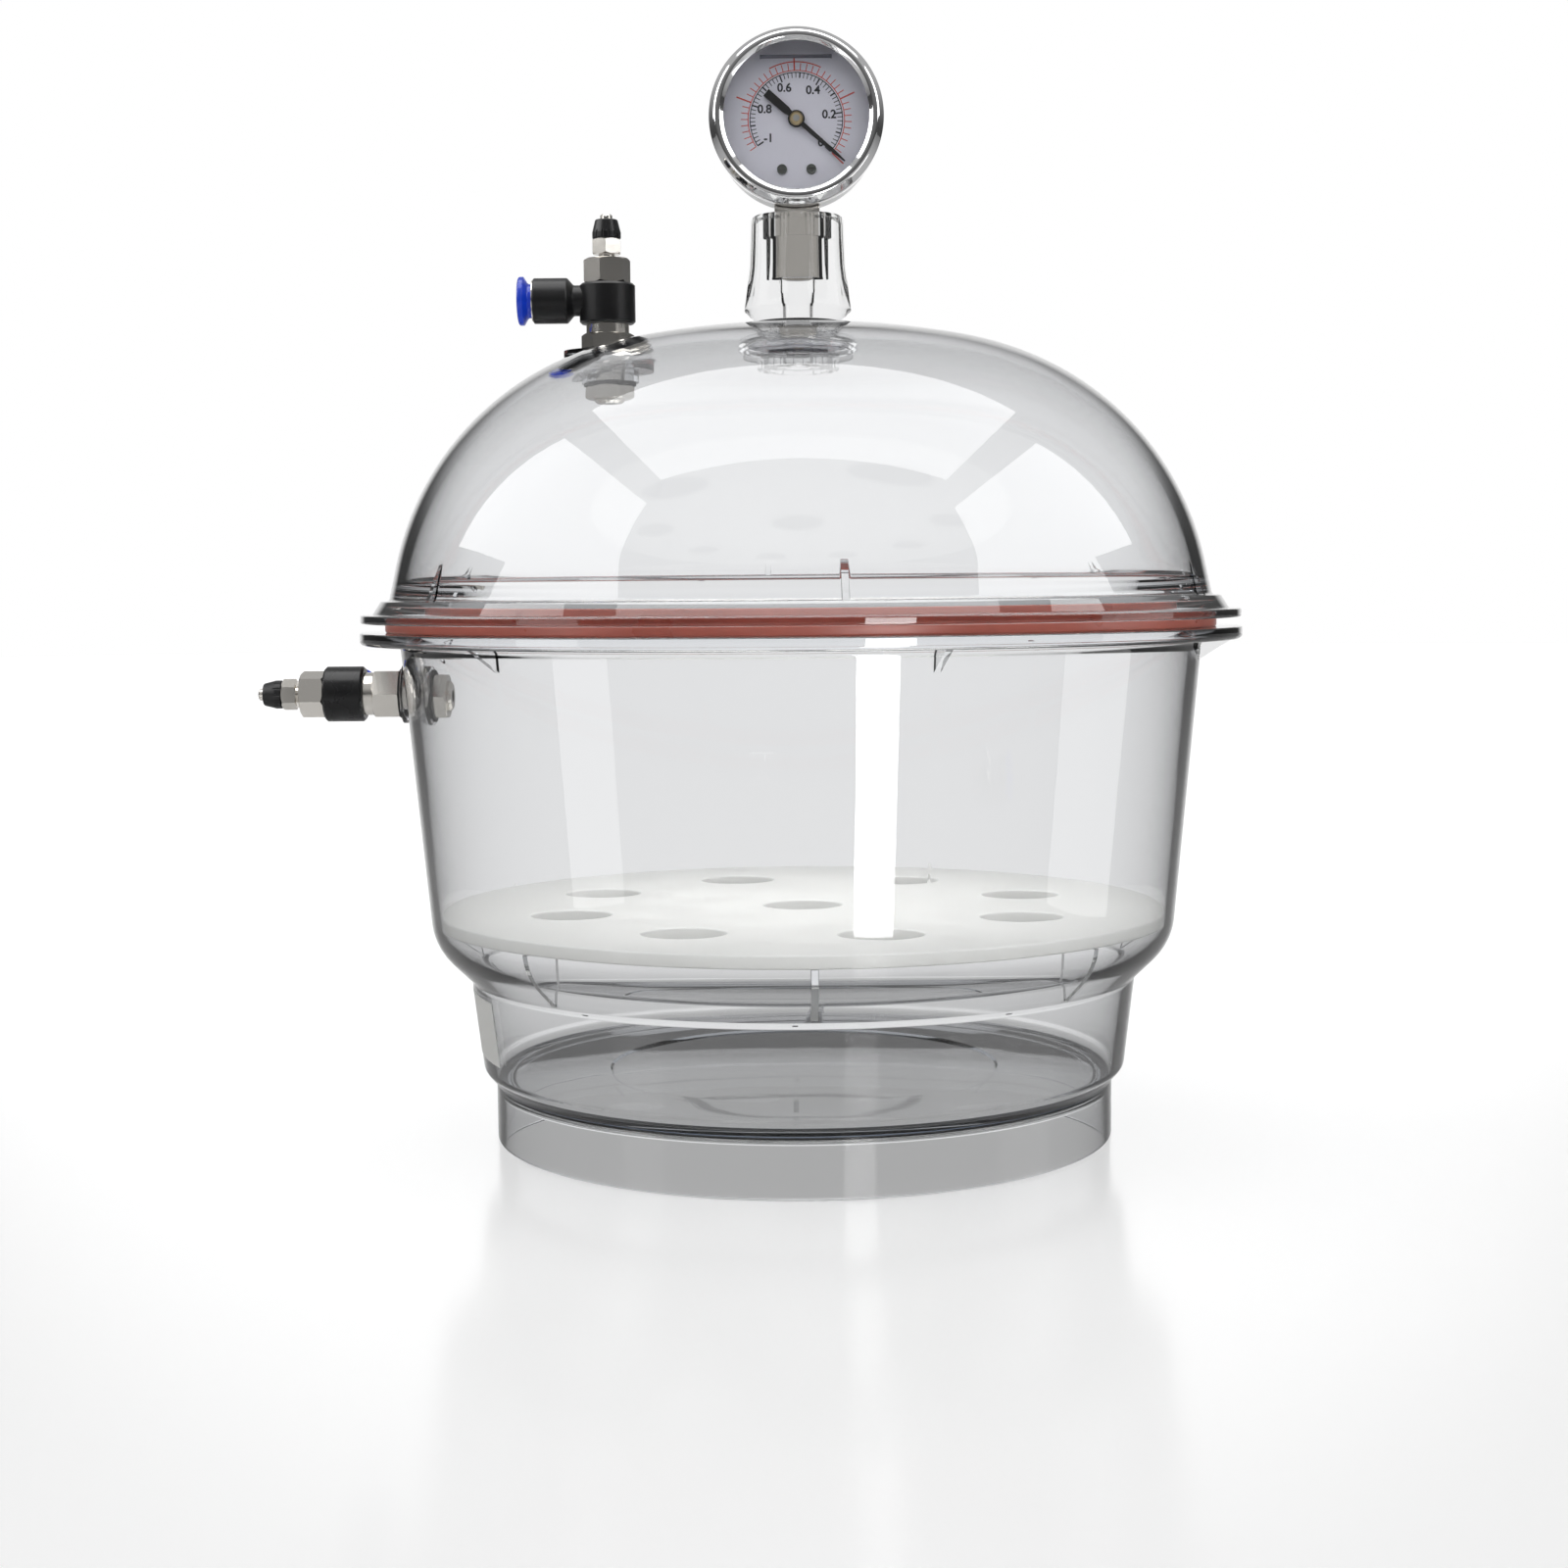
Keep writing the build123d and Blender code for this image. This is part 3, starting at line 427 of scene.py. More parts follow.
FINISHES = {
    "clear_shell": lambda n: clear(n, 28.0),
    "clear_fitting": lambda n: clear(n, 6.0, (0.9, 0.92, 0.94), 1.2),
    "window": lambda n: clear(n, 3.0, (0.9, 0.93, 1.0), 1.5, (0.0, 0.01)),
    "silicone": lambda n: silicone(n, (0.40, 0.105, 0.075)),
    "white_plate": lambda n: plain(n, (0.84, 0.84, 0.81), 0.45, 700, 0.02),
    "black_rubber": lambda n: plain(n, (0.018, 0.018, 0.018), 0.6, 900, 0.2),
    "nickel": lambda n: plain(n, (0.80, 0.77, 0.72), 0.16, 600, 0.05, 0.00001, metal=1.0),
    "stainless": lambda n: plain(n, (0.66, 0.66, 0.66), 0.28, 1200, 0.05, metal=1.0),
    "bezel_chrome": lambda n: plain(n, (0.83, 0.83, 0.84), 0.06, 300, 0.03, 0.00001, metal=1.0),
    "dial": lambda n: plain(n, (0.70, 0.70, 0.79), 0.5, 900, 0.02),
    "dark_screw": lambda n: plain(n, (0.10, 0.11, 0.10), 0.4, 900, 0.2, metal=0.6),
    "pointer_black": lambda n: plain(n, (0.008, 0.008, 0.009), 0.5, 900, 0.2),
    "brass": lambda n: plain(n, (0.72, 0.58, 0.34), 0.3, 700, 0.08, metal=1.0),
    "steel": lambda n: plain(n, (0.6, 0.6, 0.6), 0.3, 700, 0.06, metal=1.0),
    "bronze": lambda n: plain(n, (0.66, 0.44, 0.25), 0.3, 700, 0.08, metal=1.0),
    "black_plastic": lambda n: plain(n, (0.010, 0.010, 0.011), 0.30, 800, 0.25, specular=0.35),
    "blue_plastic": lambda n: plain(n, (0.008, 0.07, 0.85), 0.25, 600, 0.1, coat=0.2),
    "ink_black": lambda n: plain(n, (0.02, 0.02, 0.03), 0.5, 900, 0.05),
    "ink_red": lambda n: plain(n, (0.62, 0.09, 0.07), 0.5, 900, 0.05),
    "fill_edge": lambda n: plain(n, (0.10, 0.11, 0.14), 0.5, 900, 0.05),
}
materials = {slot: make(slot) for slot, make in FINISHES.items()}
slot_of = {row["node"]: row["material_slot"] for row in frame["record"]["subparts"]}


def dress(piece, slot, body="chamber", replaced=()):
    """Gives a new piece its finish and makes it ride on its body."""
    piece.data.materials.clear()
    piece.data.materials.append(materials[slot])
    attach(piece, body)
    if replaced:
        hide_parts(*replaced)
    return piece


for node, piece in frame["nodes"].items():
    piece.data.materials.clear()
    piece.data.materials.append(materials[slot_of[node]])
    smooth(piece.data, 35)


# ------------------------------------------------------------------ bowl

def make_bowl():
    """The bowl's turned section with its ribs, gussets, valve boss and hole."""
    slope = (WALL_POINT_R - SHOULDER_R) / (WALL_POINT_Z - SHOULDER_Z)
    floor_top = FLOOR_Z + FLOOR_THICK
    outline = [
        (0, FLOOR_Z),
        (FOOT_R - FOOT_WALL, FLOOR_Z),
        (FOOT_R - FOOT_WALL, 0),
        (FOOT_R, 0),
        (FOOT_R, FOOT_H),
        (DRUM_FOOT_R, DRUM_FOOT_Z),
        (DRUM_TOP_R, DRUM_TOP_Z),
        (SHOULDER_R, SHOULDER_Z),
        (SHOULDER_R + slope * (RIM_Z - RIM_THICK - SHOULDER_Z), RIM_Z - RIM_THICK),
        (RIM_R, RIM_Z - RIM_THICK),
        (RIM_R, RIM_Z),
        (MOUTH_R, RIM_Z),
        (MOUTH_R, RIM_Z - 2.3),
        (MOUTH_R - 2.9, RIM_Z - 6.3),
        (114.85, 64.7),
        (DRUM_TOP_R - 3.3, DRUM_TOP_Z + 1.25),
        (DRUM_R - 3.8, floor_top),
        (WELL_R + 0.3, floor_top),
        (WELL_R - 0.3, floor_top - WELL_DEPTH),
        (0, floor_top - WELL_DEPTH),
    ]
    radii = [0, 2, 0.5, 0.8, 1.5, 3, 3, 18, 2, 1.5, 0.5, 0.5, 1, 2, 14, 3, 4, 0, 0, 0]
    bowl = lathe("bowl_shell", rounded(outline, radii), steps=SHELL_STEPS)
    rib_top = PLATE_Z - 0.05
    rib = [(104, rib_top), (115.8, rib_top), (116.0, 64.5), (104, 53.0)]
    ribs = webs("rib", rib, RIB_START, RIB_COUNT)
    gusset = [(124.4, 157.6), (135.5, 157.6), (135.5, 157.0), (124.4, 149.8)]
    gussets = webs("gusset", gusset, BOWL_GUSSET_START, GUSSET_COUNT)
    seat = seat_matrix(SIDE_SEAT, (-1, 0, 0), (0, 1, 0))
    boss = prism("boss", circle(SIDE_BOSS_R), -VALVE_WALL, 0, seat)
    hole = prism("hole", circle(WALL_HOLE_R), -VALVE_WALL * 2, CUT_PAST, seat)
    combine(bowl, ribs + gussets + [boss])
    combine(bowl, [hole], "DIFFERENCE")
    return dress(bowl, "clear_shell", replaced=["bowl"])


def make_label():
    """The blank paper label stuck round the drum's left side."""
    section = (
        (LABEL_LOW_Z, LABEL_INSIDE),
        (LABEL_HIGH_Z, LABEL_INSIDE),
        (LABEL_HIGH_Z, LABEL_OUTSIDE),
        (LABEL_LOW_Z, LABEL_OUTSIDE),
    )
    drum_slope = (DRUM_TOP_R - DRUM_FOOT_R) / (DRUM_TOP_Z - DRUM_FOOT_Z)
    bm = bmesh.new()
    rows = []
    for k in range(LABEL_STEPS + 1):
        angle = radians(LABEL_START + LABEL_SWEEP * k / LABEL_STEPS)
        row = []
        for z, lift in section:
            r = DRUM_FOOT_R + drum_slope * (z - DRUM_FOOT_Z) + lift
            row.append(bm.verts.new((r * sin(angle), -r * cos(angle), z)))
        rows.append(row)
    for row, following in zip(rows, rows[1:]):
        for k in range(4):
            after = (k + 1) % 4
            bm.faces.new((row[k], row[after], following[after], following[k]))
    bm.faces.new(rows[0])
    bm.faces.new(list(reversed(rows[-1])))
    return dress(finish_mesh("blank_label", bm, UPRIGHT), "white_plate")


# ------------------------------------------------------------------ lid

def dome_points(inset):
    """The dome's skin from the apex to the top of its drafted wall, inset from the outside."""
    crown = CROWN_R - inset
    corner = CORNER_R - inset
    lean = atan2(CORNER_X, sqrt((CROWN_R - CORNER_R) ** 2 - CORNER_X**2))
    corner_z = CROWN_Z + sqrt((CROWN_R - CORNER_R) ** 2 - CORNER_X**2)
    points = []
    for k in range(17):
        turn = lean * k / 16
        points.append((crown * sin(turn), CROWN_Z + crown * cos(turn)))
    start = pi / 2 - lean
    for k in range(1, 37):
        turn = start + (WALL_DRAFT - start) * k / 36
        points.append((CORNER_X + corner * cos(turn), corner_z + corner * sin(turn)))
    return points


def make_lid():
    """The lid's turned section with its gussets, cap seat, valve boss and holes."""
    outside = dome_points(0)
    inside = dome_points(WALL)
    foot_r = outside[-1][0] + (outside[-1][1] - CHANNEL_TOP) * tan(WALL_DRAFT)
    rim = [
        (foot_r, CHANNEL_TOP),
        (131.8, CHANNEL_TOP),
        (134.5, LID_RIM_Z + LID_RIM_THICK),
        (LID_RIM_R, LID_RIM_Z + LID_RIM_THICK),
        (LID_RIM_R, LID_RIM_Z),
        (GROOVE_OUTER_R, LID_RIM_Z),
        (GROOVE_OUTER_R, GROOVE_TOP),
        (GROOVE_INNER_R, GROOVE_TOP),
        (GROOVE_INNER_R, LID_RIM_Z - 0.5),
        (LIP_R, LID_RIM_Z - 0.5),
        (LIP_R, GROOVE_TOP + 3),
        (inside[-1][0] + 1.2, inside[-1][1] - 5.5),
    ]
    rim_radii = [1.2, 0.8, 0.8, 0.6, 0.6, 0.3, 0.3, 0.3, 0.4, 0.4, 2, 3]
    outline = outside + rim + list(reversed(inside))
    radii = [0] * len(outside) + rim_radii + [0] * len(inside)
    lid = lathe("lid_shell", rounded(outline, radii), steps=SHELL_STEPS)
    gusset = [(126.0, 182.0), (126.6, 182.0), (131.7, 170.3), (128.0, 170.0)]
    gussets = webs("gusset", gusset, LID_GUSSET_START, GUSSET_COUNT)
    seat = seat_matrix(TOP_SEAT, (0, 0, 1), (-1, 0, 0))
    cap_pad = prism("pad", circle(CAP_PAD_R), CAP_PAD_Z, CAP_PAD_Z + 2)
    valve_pad = prism("pad", circle(VALVE_PAD_R), -VALVE_PAD_THICK, 0, seat)
    valve_boss = prism("boss", circle(TOP_BOSS_R), -VALVE_WALL, -3, seat)
    combine(lid, gussets + [cap_pad, valve_pad, valve_boss])
    cap_flat = prism("cut", circle(CAP_PAD_R + 1), CAP_SEAT_Z, CAP_SEAT_Z + 5)
    cap_hole = prism("cut", circle(CAP_HOLE_R), CAP_PAD_Z - 5, CAP_SEAT_Z + 5)
    valve_flat = prism("cut", circle(VALVE_PAD_R), 0, 9, seat)
    valve_hole = prism("cut", circle(WALL_HOLE_R), -VALVE_WALL * 2, CUT_PAST, seat)
    combine(lid, [cap_flat, cap_hole, valve_flat, valve_hole], "DIFFERENCE")
    return dress(lid, "clear_shell", replaced=["dome_lid"])


# ------------------------------------------------------------------ ring and plate

def make_seal():
    """The silicone ring, grooved round its outside."""
    inner = GROOVE_INNER_R + SEAL_SIDE_GAP
    outer = GROOVE_OUTER_R - SEAL_SIDE_GAP
    outline = [
        (inner, RIM_Z + SEAL_GAP),
        (outer, RIM_Z + SEAL_GAP),
        (outer, 163.5),
        (outer - 1.4, 164.6),
        (outer, 165.6),
        (outer, GROOVE_TOP - SEAL_GAP),
        (inner, GROOVE_TOP - SEAL_GAP),
    ]
    radii = [0.5, 0.6, 0.4, 0.3, 0.4, 0.6, 0.5]
    ring = lathe("seal_band", rounded(outline, radii), steps=SHELL_STEPS)
    return dress(ring, "silicone", replaced=["seal_ring"])


def make_plate():
    """A white plate with rounded edges: a filled curve with holes, given depth and a bevel."""
    low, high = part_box("partition_plate")
    thick = (high.z - low.z) / MM
    shape = bpy.data.curves.new("plate", "CURVE")
    shape.dimensions = "2D"
    shape.fill_mode = "BOTH"
    shape.extrude = (thick / 2 - PLATE_BEVEL) * MM
    shape.bevel_depth = PLATE_BEVEL * MM
    shape.bevel_resolution = 3
    holes = [(0, 0)]
    for k in range(PLATE_HOLES):
        angle = radians(PLATE_HOLE_START + k * (360 / PLATE_HOLES))
        holes.append((PLATE_HOLE_PCR * cos(angle), PLATE_HOLE_PCR * sin(angle)))
    loops = [circle(PLATE_R - PLATE_BEVEL, 192)]
    loops += [circle(PLATE_HOLE_R + PLATE_BEVEL, 64, hole) for hole in holes]
    for loop in loops:
        line = shape.splines.new("POLY")
        line.points.add(len(loop) - 1)
        for point, (x, y) in zip(line.points, loop):
            point.co = (x * MM, y * MM, 0, 1)
        line.use_cyclic_u = True
    mesh = mesh_from_curve("plate_curve", shape)
    mesh.transform(Matrix.Translation((0, 0, (low.z + high.z) / 2)))
    smooth(mesh)
    plate = new_object("plate_disc", mesh)
    return dress(plate, "white_plate", replaced=["partition_plate"])


# ------------------------------------------------------------------ cap

def make_cap():
    """The clear cap with its spigot, the pocket for the hexagon insert and its flutes."""
    base = CAP_SEAT_Z + CAP_SEAL_THICK
    outline = [
        (CAP_BORE_R, SPIGOT_END),
        (SPIGOT_R, SPIGOT_END),
        (SPIGOT_R, base),
        (13.4, base),
        (17.0, 260.6),
        (16.4, 264.5),
        (15.8, 269.5),
        (15.2, 274.0),
        (14.9, 281.0),
        (14.6, CAP_TOP),
        (HEX_POCKET_R, CAP_TOP),
        (HEX_POCKET_R, HEX_POCKET_Z),
        (POCKET_R, HEX_POCKET_Z),
        (POCKET_R, POCKET_FLOOR_Z),
        (CAP_BORE_R, POCKET_FLOOR_Z),
    ]
    radii = [0.3, 0.6, 0.3, 0.6, 1.2, 3, 8, 6, 10, 2, 0.4, 0, 0, 0, 0]

    def flute(angle, r, z):
        if r < FLUTE_MIN_R or z < FLUTE_LOW_Z:
            return r
        fade = min(1.0, (z - FLUTE_LOW_Z) / FLUTE_RUN_IN)
        wave = max(0.0, cos((angle + radians(FLUTE_TURN)) * FLUTES)) ** 0.8
        return r - FLUTE_DEPTH * fade * wave

    cap = lathe("cap_body", rounded(outline, radii, 6), steps=CAP_STEPS, swell=flute)
    return dress(cap, "clear_fitting", replaced=["fluted_cap"])


# ------------------------------------------------------------------ gauge

DIAL_FRONT = 7.0
SCALE_START = -43.0
SCALE_SWEEP = 256.0
INNER_DIVISIONS = 50
INNER_ARC_R = 14.2
OUTER_DIVISIONS = 38
OUTER_ARC_R = 14.8
ARC_WIDTH = 0.28
RED_ARC_START = 64
RED_ARC_SWEEP = 54
RED_ARC_R = 17.4
PRINT_THICK = 0.05
NUMBERS = ("0", "0.2", "0.4", "0.6", "0.8", "-1")
NUMBER_R = 10.2
NUMBER_SIZE = 3.6
NUMBER_BOLDNESS = 0.09


def dial_bar(name, angle, inner, outer, width):
    """A printed tick on the dial."""
    turn = radians(angle)
    along = Vector((cos(turn), sin(turn)))
    side = Vector((-sin(turn), cos(turn))) * (width / 2)
    near, far = along * inner, along * outer
    points = [tuple(point) for point in (near - side, far - side, far + side, near + side)]
    return prism(name, points, DIAL_FRONT, DIAL_FRONT + PRINT_THICK, FACE)


def dial_arc(name, start, sweep, radius, width, steps=90):
    """A printed arc on the dial."""
    turns = [radians(start + sweep * k / steps) for k in range(steps + 1)]
    far, near = radius + width / 2, radius - width / 2
    points = [(far * cos(a), far * sin(a)) for a in turns]
    points += [(near * cos(a), near * sin(a)) for a in reversed(turns)]
    return prism(name, points, DIAL_FRONT, DIAL_FRONT + PRINT_THICK, FACE)


def dial_text(name, words, angle, radius, size):
    """A printed number on the dial, upright."""
    shape = bpy.data.curves.new(name, "FONT")
    shape.body = words
    shape.size = size
    shape.align_x = "CENTER"
    shape.align_y = "CENTER"
    shape.extrude = PRINT_THICK / 2
    shape.resolution_u = 4
    shape.offset = NUMBER_BOLDNESS
    mesh = mesh_from_curve(name, shape)
    turn = radians(angle)
    middle = DIAL_FRONT + PRINT_THICK / 2
    shift = Matrix.Translation((radius * cos(turn), radius * sin(turn), middle))
    mesh.transform(Matrix.Scale(MM, 4) @ FACE @ shift)
    return new_object(name, mesh)


def merged(name, parts):
    """Joins meshes into one object."""
    bm = bmesh.new()
    for part in parts:
        bm.from_mesh(part.data)
        bpy.data.objects.remove(part)
    mesh = bpy.data.meshes.new(name)
    bm.to_mesh(mesh)
    bm.free()
    return new_object(name, mesh)


def print_piece(piece, inkname):
    """Gives a piece its ink and makes it ride on the chamber as part of the dial."""
    piece.data.materials.clear()
    piece.data.materials.append(materials[inkname])
    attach(piece, "chamber")
    return piece


def make_dial_print():
    """The black inner scale with its numbers and the red outer scale."""
    black = []
    red = []
    for k in range(INNER_DIVISIONS + 1):
        angle = SCALE_START + SCALE_SWEEP * k / INNER_DIVISIONS
        start = 12.0 if k % 10 == 0 else 12.6
        width = 0.45 if k % 5 == 0 else 0.25
        black.append(dial_bar("tick", angle, start, INNER_ARC_R, width))
    for k in range(OUTER_DIVISIONS + 1):
        angle = SCALE_START + SCALE_SWEEP * k / OUTER_DIVISIONS
        end, width = (19.6, 0.45) if k % 10 == 0 else (17.0, 0.28)
        red.append(dial_bar("tick", angle, 14.9, end, width))
    black.append(dial_arc("arc", SCALE_START, SCALE_SWEEP, INNER_ARC_R, ARC_WIDTH))
    red.append(dial_arc("arc", SCALE_START, SCALE_SWEEP, OUTER_ARC_R, ARC_WIDTH))
    red.append(dial_arc("arc", RED_ARC_START, RED_ARC_SWEEP, RED_ARC_R, 0.35, 24))
    for k, words in enumerate(NUMBERS):
        angle = SCALE_START + SCALE_SWEEP * k / (len(NUMBERS) - 1)
        black.append(dial_text("number", words, angle, NUMBER_R, NUMBER_SIZE))
    print_piece(merged("dial_scale_black", black), "ink_black")
    print_piece(merged("dial_scale_red", red), "ink_red")


def make_gauge():
    """The gauge's bezel, case, window, liquid surface and printed dial."""
    hoop = rounded(
        [
            (25.6, 10.0),
            (27.0, 10.0),
            (27.0, 14.4),
            (25.2, 17.4),
            (23.6, 17.4),
            (22.4, 16.4),
            (22.4, 15.25),
            (26.25, 15.25),
            (26.25, 11.0),
            (25.6, 11.0),
        ],
        [0.3, 0.4, 2.4, 1.2, 0.8, 0.3, 0, 0, 0, 0.3],
        6,
    )
    bezel = lathe("bezel_hoop", hoop, FACE, BEZEL_STEPS)
    dress(bezel, "bezel_chrome", replaced=["gauge_bezel"])
    can = rounded(
        [
            (0, -12.0),
            (25.5, -12.0),
            (25.5, 11.0),
            (26.2, 11.0),
            (26.2, 12.0),
            (24.5, 12.0),
            (24.5, -11.0),
            (0, -11.0),
        ],
        [0, 2.6, 0, 0.2, 0.2, 0, 1.6, 0],
        8,
    )
    case = lathe("case_can", can, FACE, CASE_STEPS)
    side = SOCKET_HALF
    opening = prism("cut", [(-side, -side), (side, -side), (side, side), (-side, side)], 288, 298)
    filler = prism("cut", circle(FILLER_R, 32), 338, 350)
    combine(case, [opening, filler], "DIFFERENCE")
    dress(case, "stainless", replaced=["gauge_case"])
    pane = rounded([(0, 13.05), (25.9, 13.05), (25.9, 15.2), (0, 15.2)], [0, 0.3, 0.3, 0])
    window = lathe("window_pane", pane, FACE, WINDOW_STEPS)
    dress(window, "window", replaced=["gauge_window"])
    surface = [(-11.0, 18.1), (-10.2, 18.25), (10.2, 18.25), (11.0, 18.1), (11.0, 18.5)]
    surface.append((-11.0, 18.5))
    print_piece(prism("fill_surface", surface, 8.0, 12.9, FACE), "fill_edge")
    make_dial_print()


make_bowl()
make_label()
make_lid()
make_seal()
make_plate()
make_cap()
make_gauge()

# ------------------------------------------------------------------ studio

scene = bpy.context.scene
scene.view_settings.view_transform = "Standard"

ROOM_LEVEL = 0.45  # the room's light on outside surfaces
SIDE_THROUGH_SHELL = 0.9  # its light through a shell, from the side
TOP_THROUGH_SHELL = 2.7  # and from overhead
SEEN_THROUGH = 0.86  # the background seen straight through the shells
PAINTED_SHADOW_LEVEL = 0.42  # painted shadow: the floor under the object, seen through the shells
EDGE_LEVEL = 0.02  # what the shells turn back near their edges
EDGE_TOP_LEVEL = 0.75
INSIDE_LEVEL = 0.38  # what is seen after many passes through the shells
MIRROR_LEVEL = 0.06  # the dark horizon in reflections
CEILING_LEVEL = 0.45
MANY_PASSES = 3.5
FLOOR_GLOW = 0.38

CAMERA_PLACE = (-0.00065, -0.7814, 0.1748)
PHOTO_WIDTH = 1600  # pixels
FOCAL_LENGTH = 2497.3  # pixels
SENSOR_WIDTH = 36.0
CAMERA_YAW = 0.367
CAMERA_DOWN = 4.67
CAMERA_ROLL = -0.499


def background_through(tree, path, edge, straight):
    """What a ray meets past the shells: straight on, or edge or inside once turned back."""
    far = sums(tree, "GREATER_THAN", path["Transmission Depth"], MANY_PASSES)
    turned = sums(tree, "GREATER_THAN", path["Glossy Depth"], 0.5)
    return choose(tree, turned, choose(tree, far, INSIDE_LEVEL, edge), straight)


def make_world():
    """White behind the object, a grey room in its reflections, dark at the shells' edges."""
    world = bpy.data.worlds.new("studio")
    scene.world = world
    world.use_nodes = True
    tree = world.node_tree
    tree.nodes.clear()
    path = tree.nodes.new("ShaderNodeLightPath").outputs
    place = tree.nodes.new("ShaderNodeTexCoord")
    split = tree.nodes.new("ShaderNodeSeparateXYZ")
    tree.links.new(place.outputs["Generated"], split.inputs["Vector"])
    wall = ramp(tree, split.outputs["Y"], 0.88, 0.95, 0.0, 1.0)
    ceiling = ramp(tree, split.outputs["Z"], 0.0, 0.6, MIRROR_LEVEL, CEILING_LEVEL)
    room = choose(tree, path["Is Glossy Ray"], sums(tree, "MAXIMUM", wall, ceiling), ROOM_LEVEL)
    edge = ramp(tree, split.outputs["Z"], 0.12, 0.45, EDGE_LEVEL, EDGE_TOP_LEVEL)
    through = background_through(tree, path, edge, SEEN_THROUGH)
    direct = choose(tree, path["Is Transmission Ray"], through, room)
    up = split.outputs["Z"]
    overhead = ramp(tree, up, 0.0, 0.7, SIDE_THROUGH_SHELL, TOP_THROUGH_SHELL)
    lit = choose(tree, path["Is Transmission Ray"], overhead, ROOM_LEVEL)
    bounced = sums(tree, "GREATER_THAN", path["Diffuse Depth"], 0.5)
    level = choose(tree, bounced, lit, direct)
    background = tree.nodes.new("ShaderNodeBackground")
    background.inputs["Color"].default_value = (1, 1, 1, 1)
    strength = choose(tree, path["Is Camera Ray"], 1.0, level)
    tree.links.new(strength, background.inputs["Strength"])
    out = tree.nodes.new("ShaderNodeOutputWorld")
    tree.links.new(background.outputs["Background"], out.inputs["Surface"])


def make_floor():
    """A pale polished floor; its glow is seen by the camera only, and lights nothing. Seen through
    the shells it is not lit but glows with a painted shadow, darker towards the object.
    """
    bm = bmesh.new()
    bmesh.ops.create_circle(bm, cap_ends=True, segments=96, radius=6.0)
    mesh = bpy.data.meshes.new("studio_floor")
    bm.to_mesh(mesh)
    bm.free()
    floor = new_object("studio_floor", mesh)
    floor.location.z = -0.0002
    material, nodes, links, shader = new_material("floor_white")
    tree = material.node_tree
    shader.inputs["Base Color"].default_value = (0.90, 0.90, 0.90, 1)
    shader.inputs["Roughness"].default_value = 0.16
    shader.inputs["Emission Color"].default_value = (1, 1, 1, 1)
    path = nodes.new("ShaderNodeLightPath").outputs
    glow = sums(tree, "MULTIPLY", path["Is Camera Ray"], FLOOR_GLOW)
    links.new(glow, shader.inputs["Emission Strength"])
    place = nodes.new("ShaderNodeTexCoord")
    reach = nodes.new("ShaderNodeVectorMath")
    reach.operation = "LENGTH"
    links.new(place.outputs["Object"], reach.inputs[0])
    # Seen through the shells the floor takes no light: it glows with a painted shadow, from the
    # painted shadow level under the object up to the far level, and with the shells' dark edge
    # level once a ray has turned back.
    painted_shadow = ramp(tree, reach.outputs["Value"], 0.06, 0.42, PAINTED_SHADOW_LEVEL, SEEN_THROUGH)
    painted_glass_view = nodes.new("ShaderNodeEmission")
    links.new(background_through(tree, path, EDGE_LEVEL, painted_shadow), painted_glass_view.inputs["Strength"])
    first = sums(tree, "LESS_THAN", path["Diffuse Depth"], 0.5)
    mix = nodes.new("ShaderNodeMixShader")
    links.new(sums(tree, "MULTIPLY", path["Is Transmission Ray"], first), mix.inputs["Fac"])
    links.new(shader.outputs["BSDF"], mix.inputs[1])
    links.new(painted_glass_view.outputs["Emission"], mix.inputs[2])
    links.new(mix.outputs["Shader"], nodes["Material Output"].inputs["Surface"])
    mesh.materials.append(material)


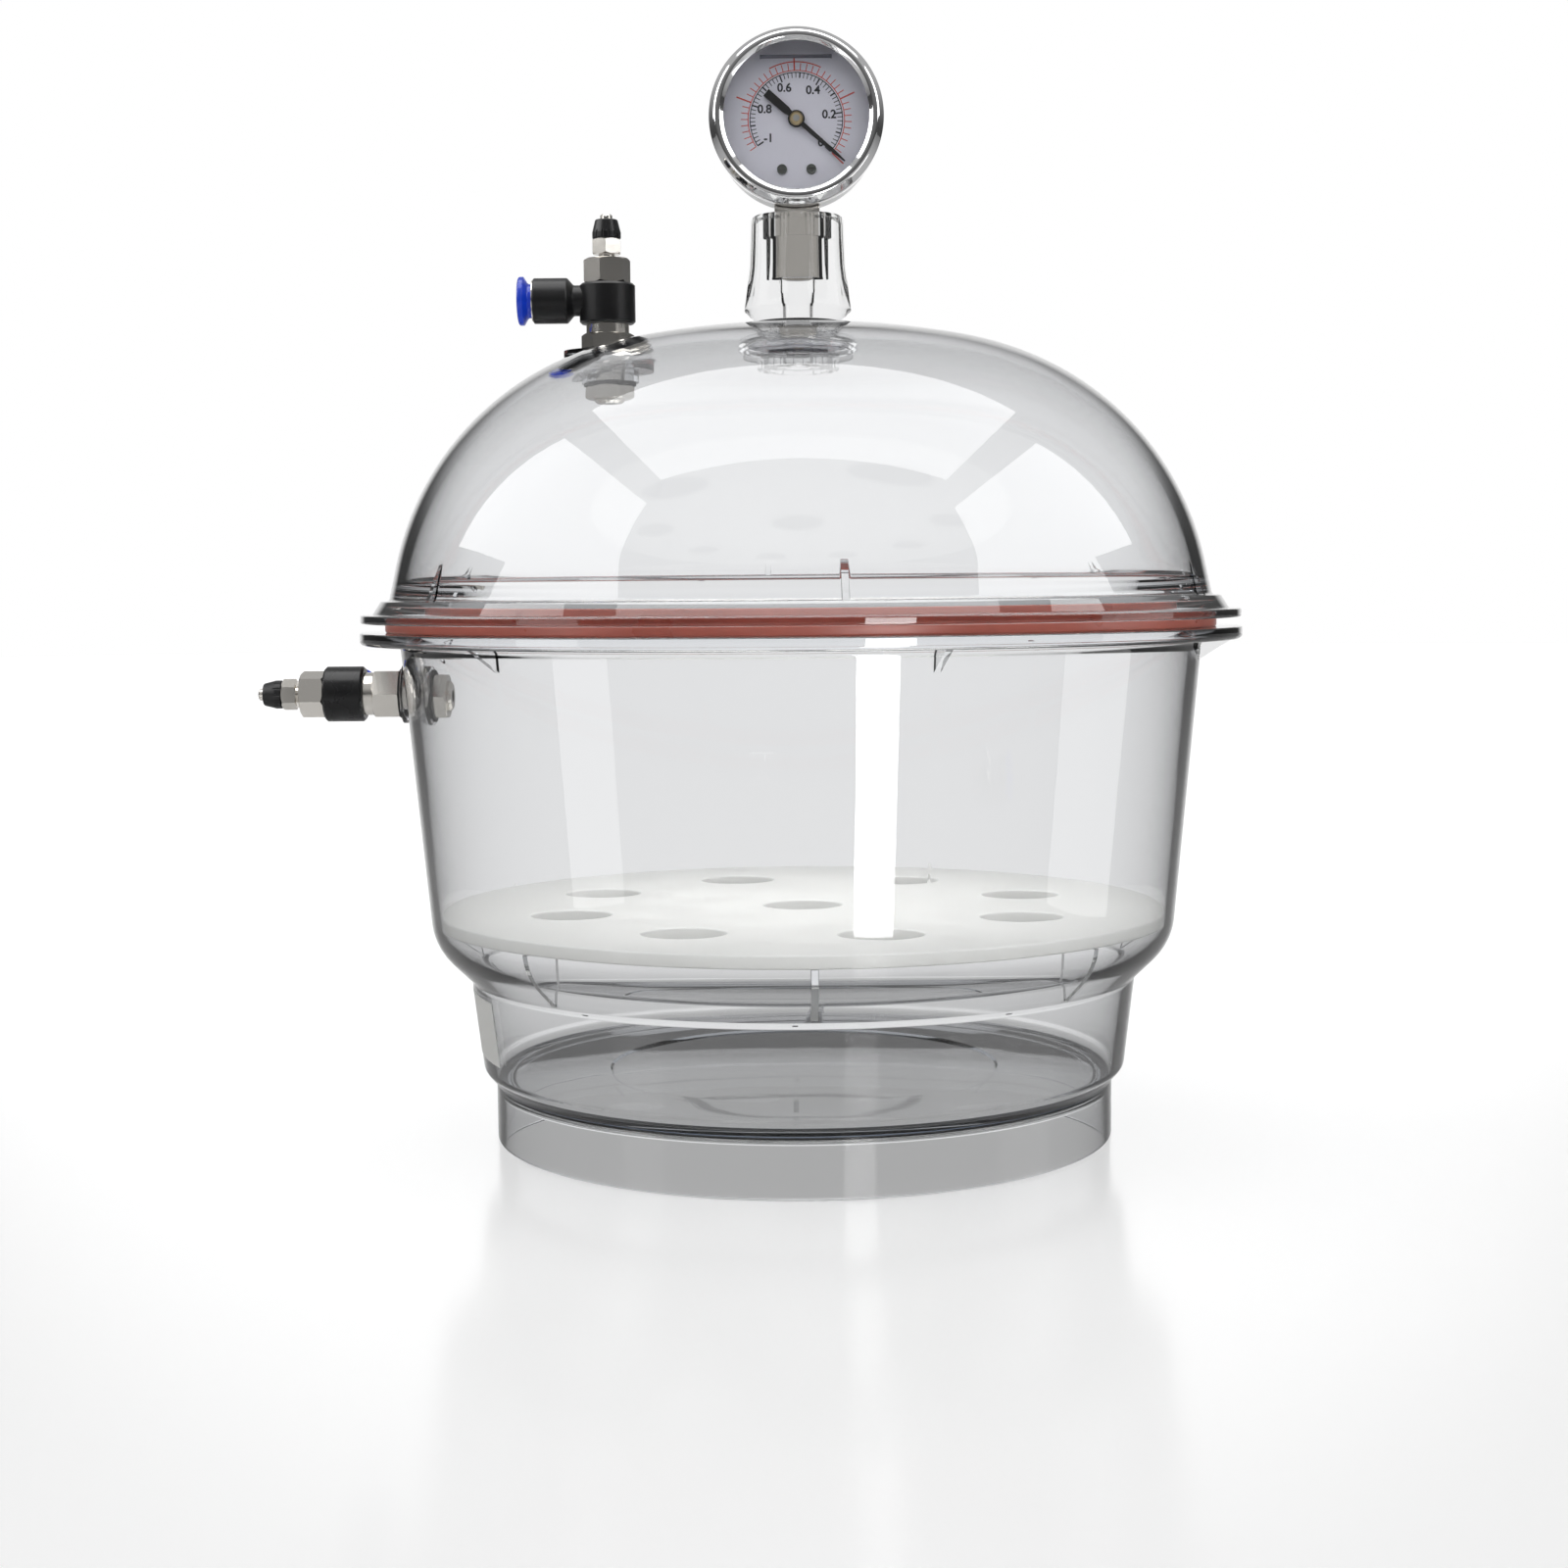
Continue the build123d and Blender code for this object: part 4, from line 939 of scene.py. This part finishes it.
def softbox(name, place, aim, width, height, mirrored, lit):
    """A lamp panel that is never seen itself: one lamp for its reflection, one for its light."""
    for kind, radiance in (("mirrored", mirrored), ("lit", lit)):
        if not radiance:
            continue
        data = bpy.data.lights.new(f"{name}_{kind}", "AREA")
        data.shape = "RECTANGLE"
        data.size = width
        data.size_y = height
        data.energy = radiance * pi * width * height
        lamp = bpy.data.objects.new(f"{name}_{kind}", data)
        lamp.location = place
        lamp.rotation_euler = (Vector(aim) - Vector(place)).to_track_quat("-Z", "Y").to_euler()
        lamp.visible_camera = False
        lamp.visible_transmission = False
        lamp.visible_glossy = kind == "mirrored"
        lamp.visible_diffuse = kind == "lit"
        scene.collection.objects.link(lamp)


def card(name, turn, reach, width, radiance):
    """A low upright panel near the foot, seen only as a streak down the outside of the bowl."""
    angle = radians(turn)
    height = 0.19
    middle = (reach * sin(angle), -reach * cos(angle), height / 2 + 0.001)
    softbox(name, middle, (0, 0, middle[2]), width, height, radiance, 0)


def make_lights():
    """Three large softboxes, and three cards for the streaks down the bowl."""
    softbox("soft_left", (-0.9, -0.25, 0.82), (0, -0.25, 0.82), 1.05, 0.75, 3.4, 1.6)
    softbox("soft_right", (0.95, -0.32, 0.82), (0, -0.32, 0.82), 1.05, 0.72, 3.4, 1.6)
    softbox("soft_top", (0.03, -0.1, 1.25), (0.03, -0.1, 0), 1.5, 1.0, 3.0, 1.1)
    card("strip_front", 16.5, 0.30, 0.050, 12)
    card("card_left", -52, 0.34, 0.09, 1.8)
    card("card_right", 76, 0.34, 0.14, 1.5)


def make_camera():
    """The camera stands level with the shell's middle and looks slightly down."""
    data = bpy.data.cameras.new("camera")
    data.sensor_width = SENSOR_WIDTH
    data.lens = FOCAL_LENGTH / PHOTO_WIDTH * data.sensor_width
    camera = bpy.data.objects.new("camera", data)
    camera.location = CAMERA_PLACE
    yaw = Matrix.Rotation(radians(CAMERA_YAW), 4, "Z")
    pitch = Matrix.Rotation(radians(90 - CAMERA_DOWN), 4, "X")
    roll = Matrix.Rotation(radians(CAMERA_ROLL), 4, "Z")
    camera.rotation_euler = (yaw @ pitch @ roll).to_euler()
    scene.collection.objects.link(camera)
    scene.camera = camera


make_world()
make_floor()
make_lights()
make_camera()
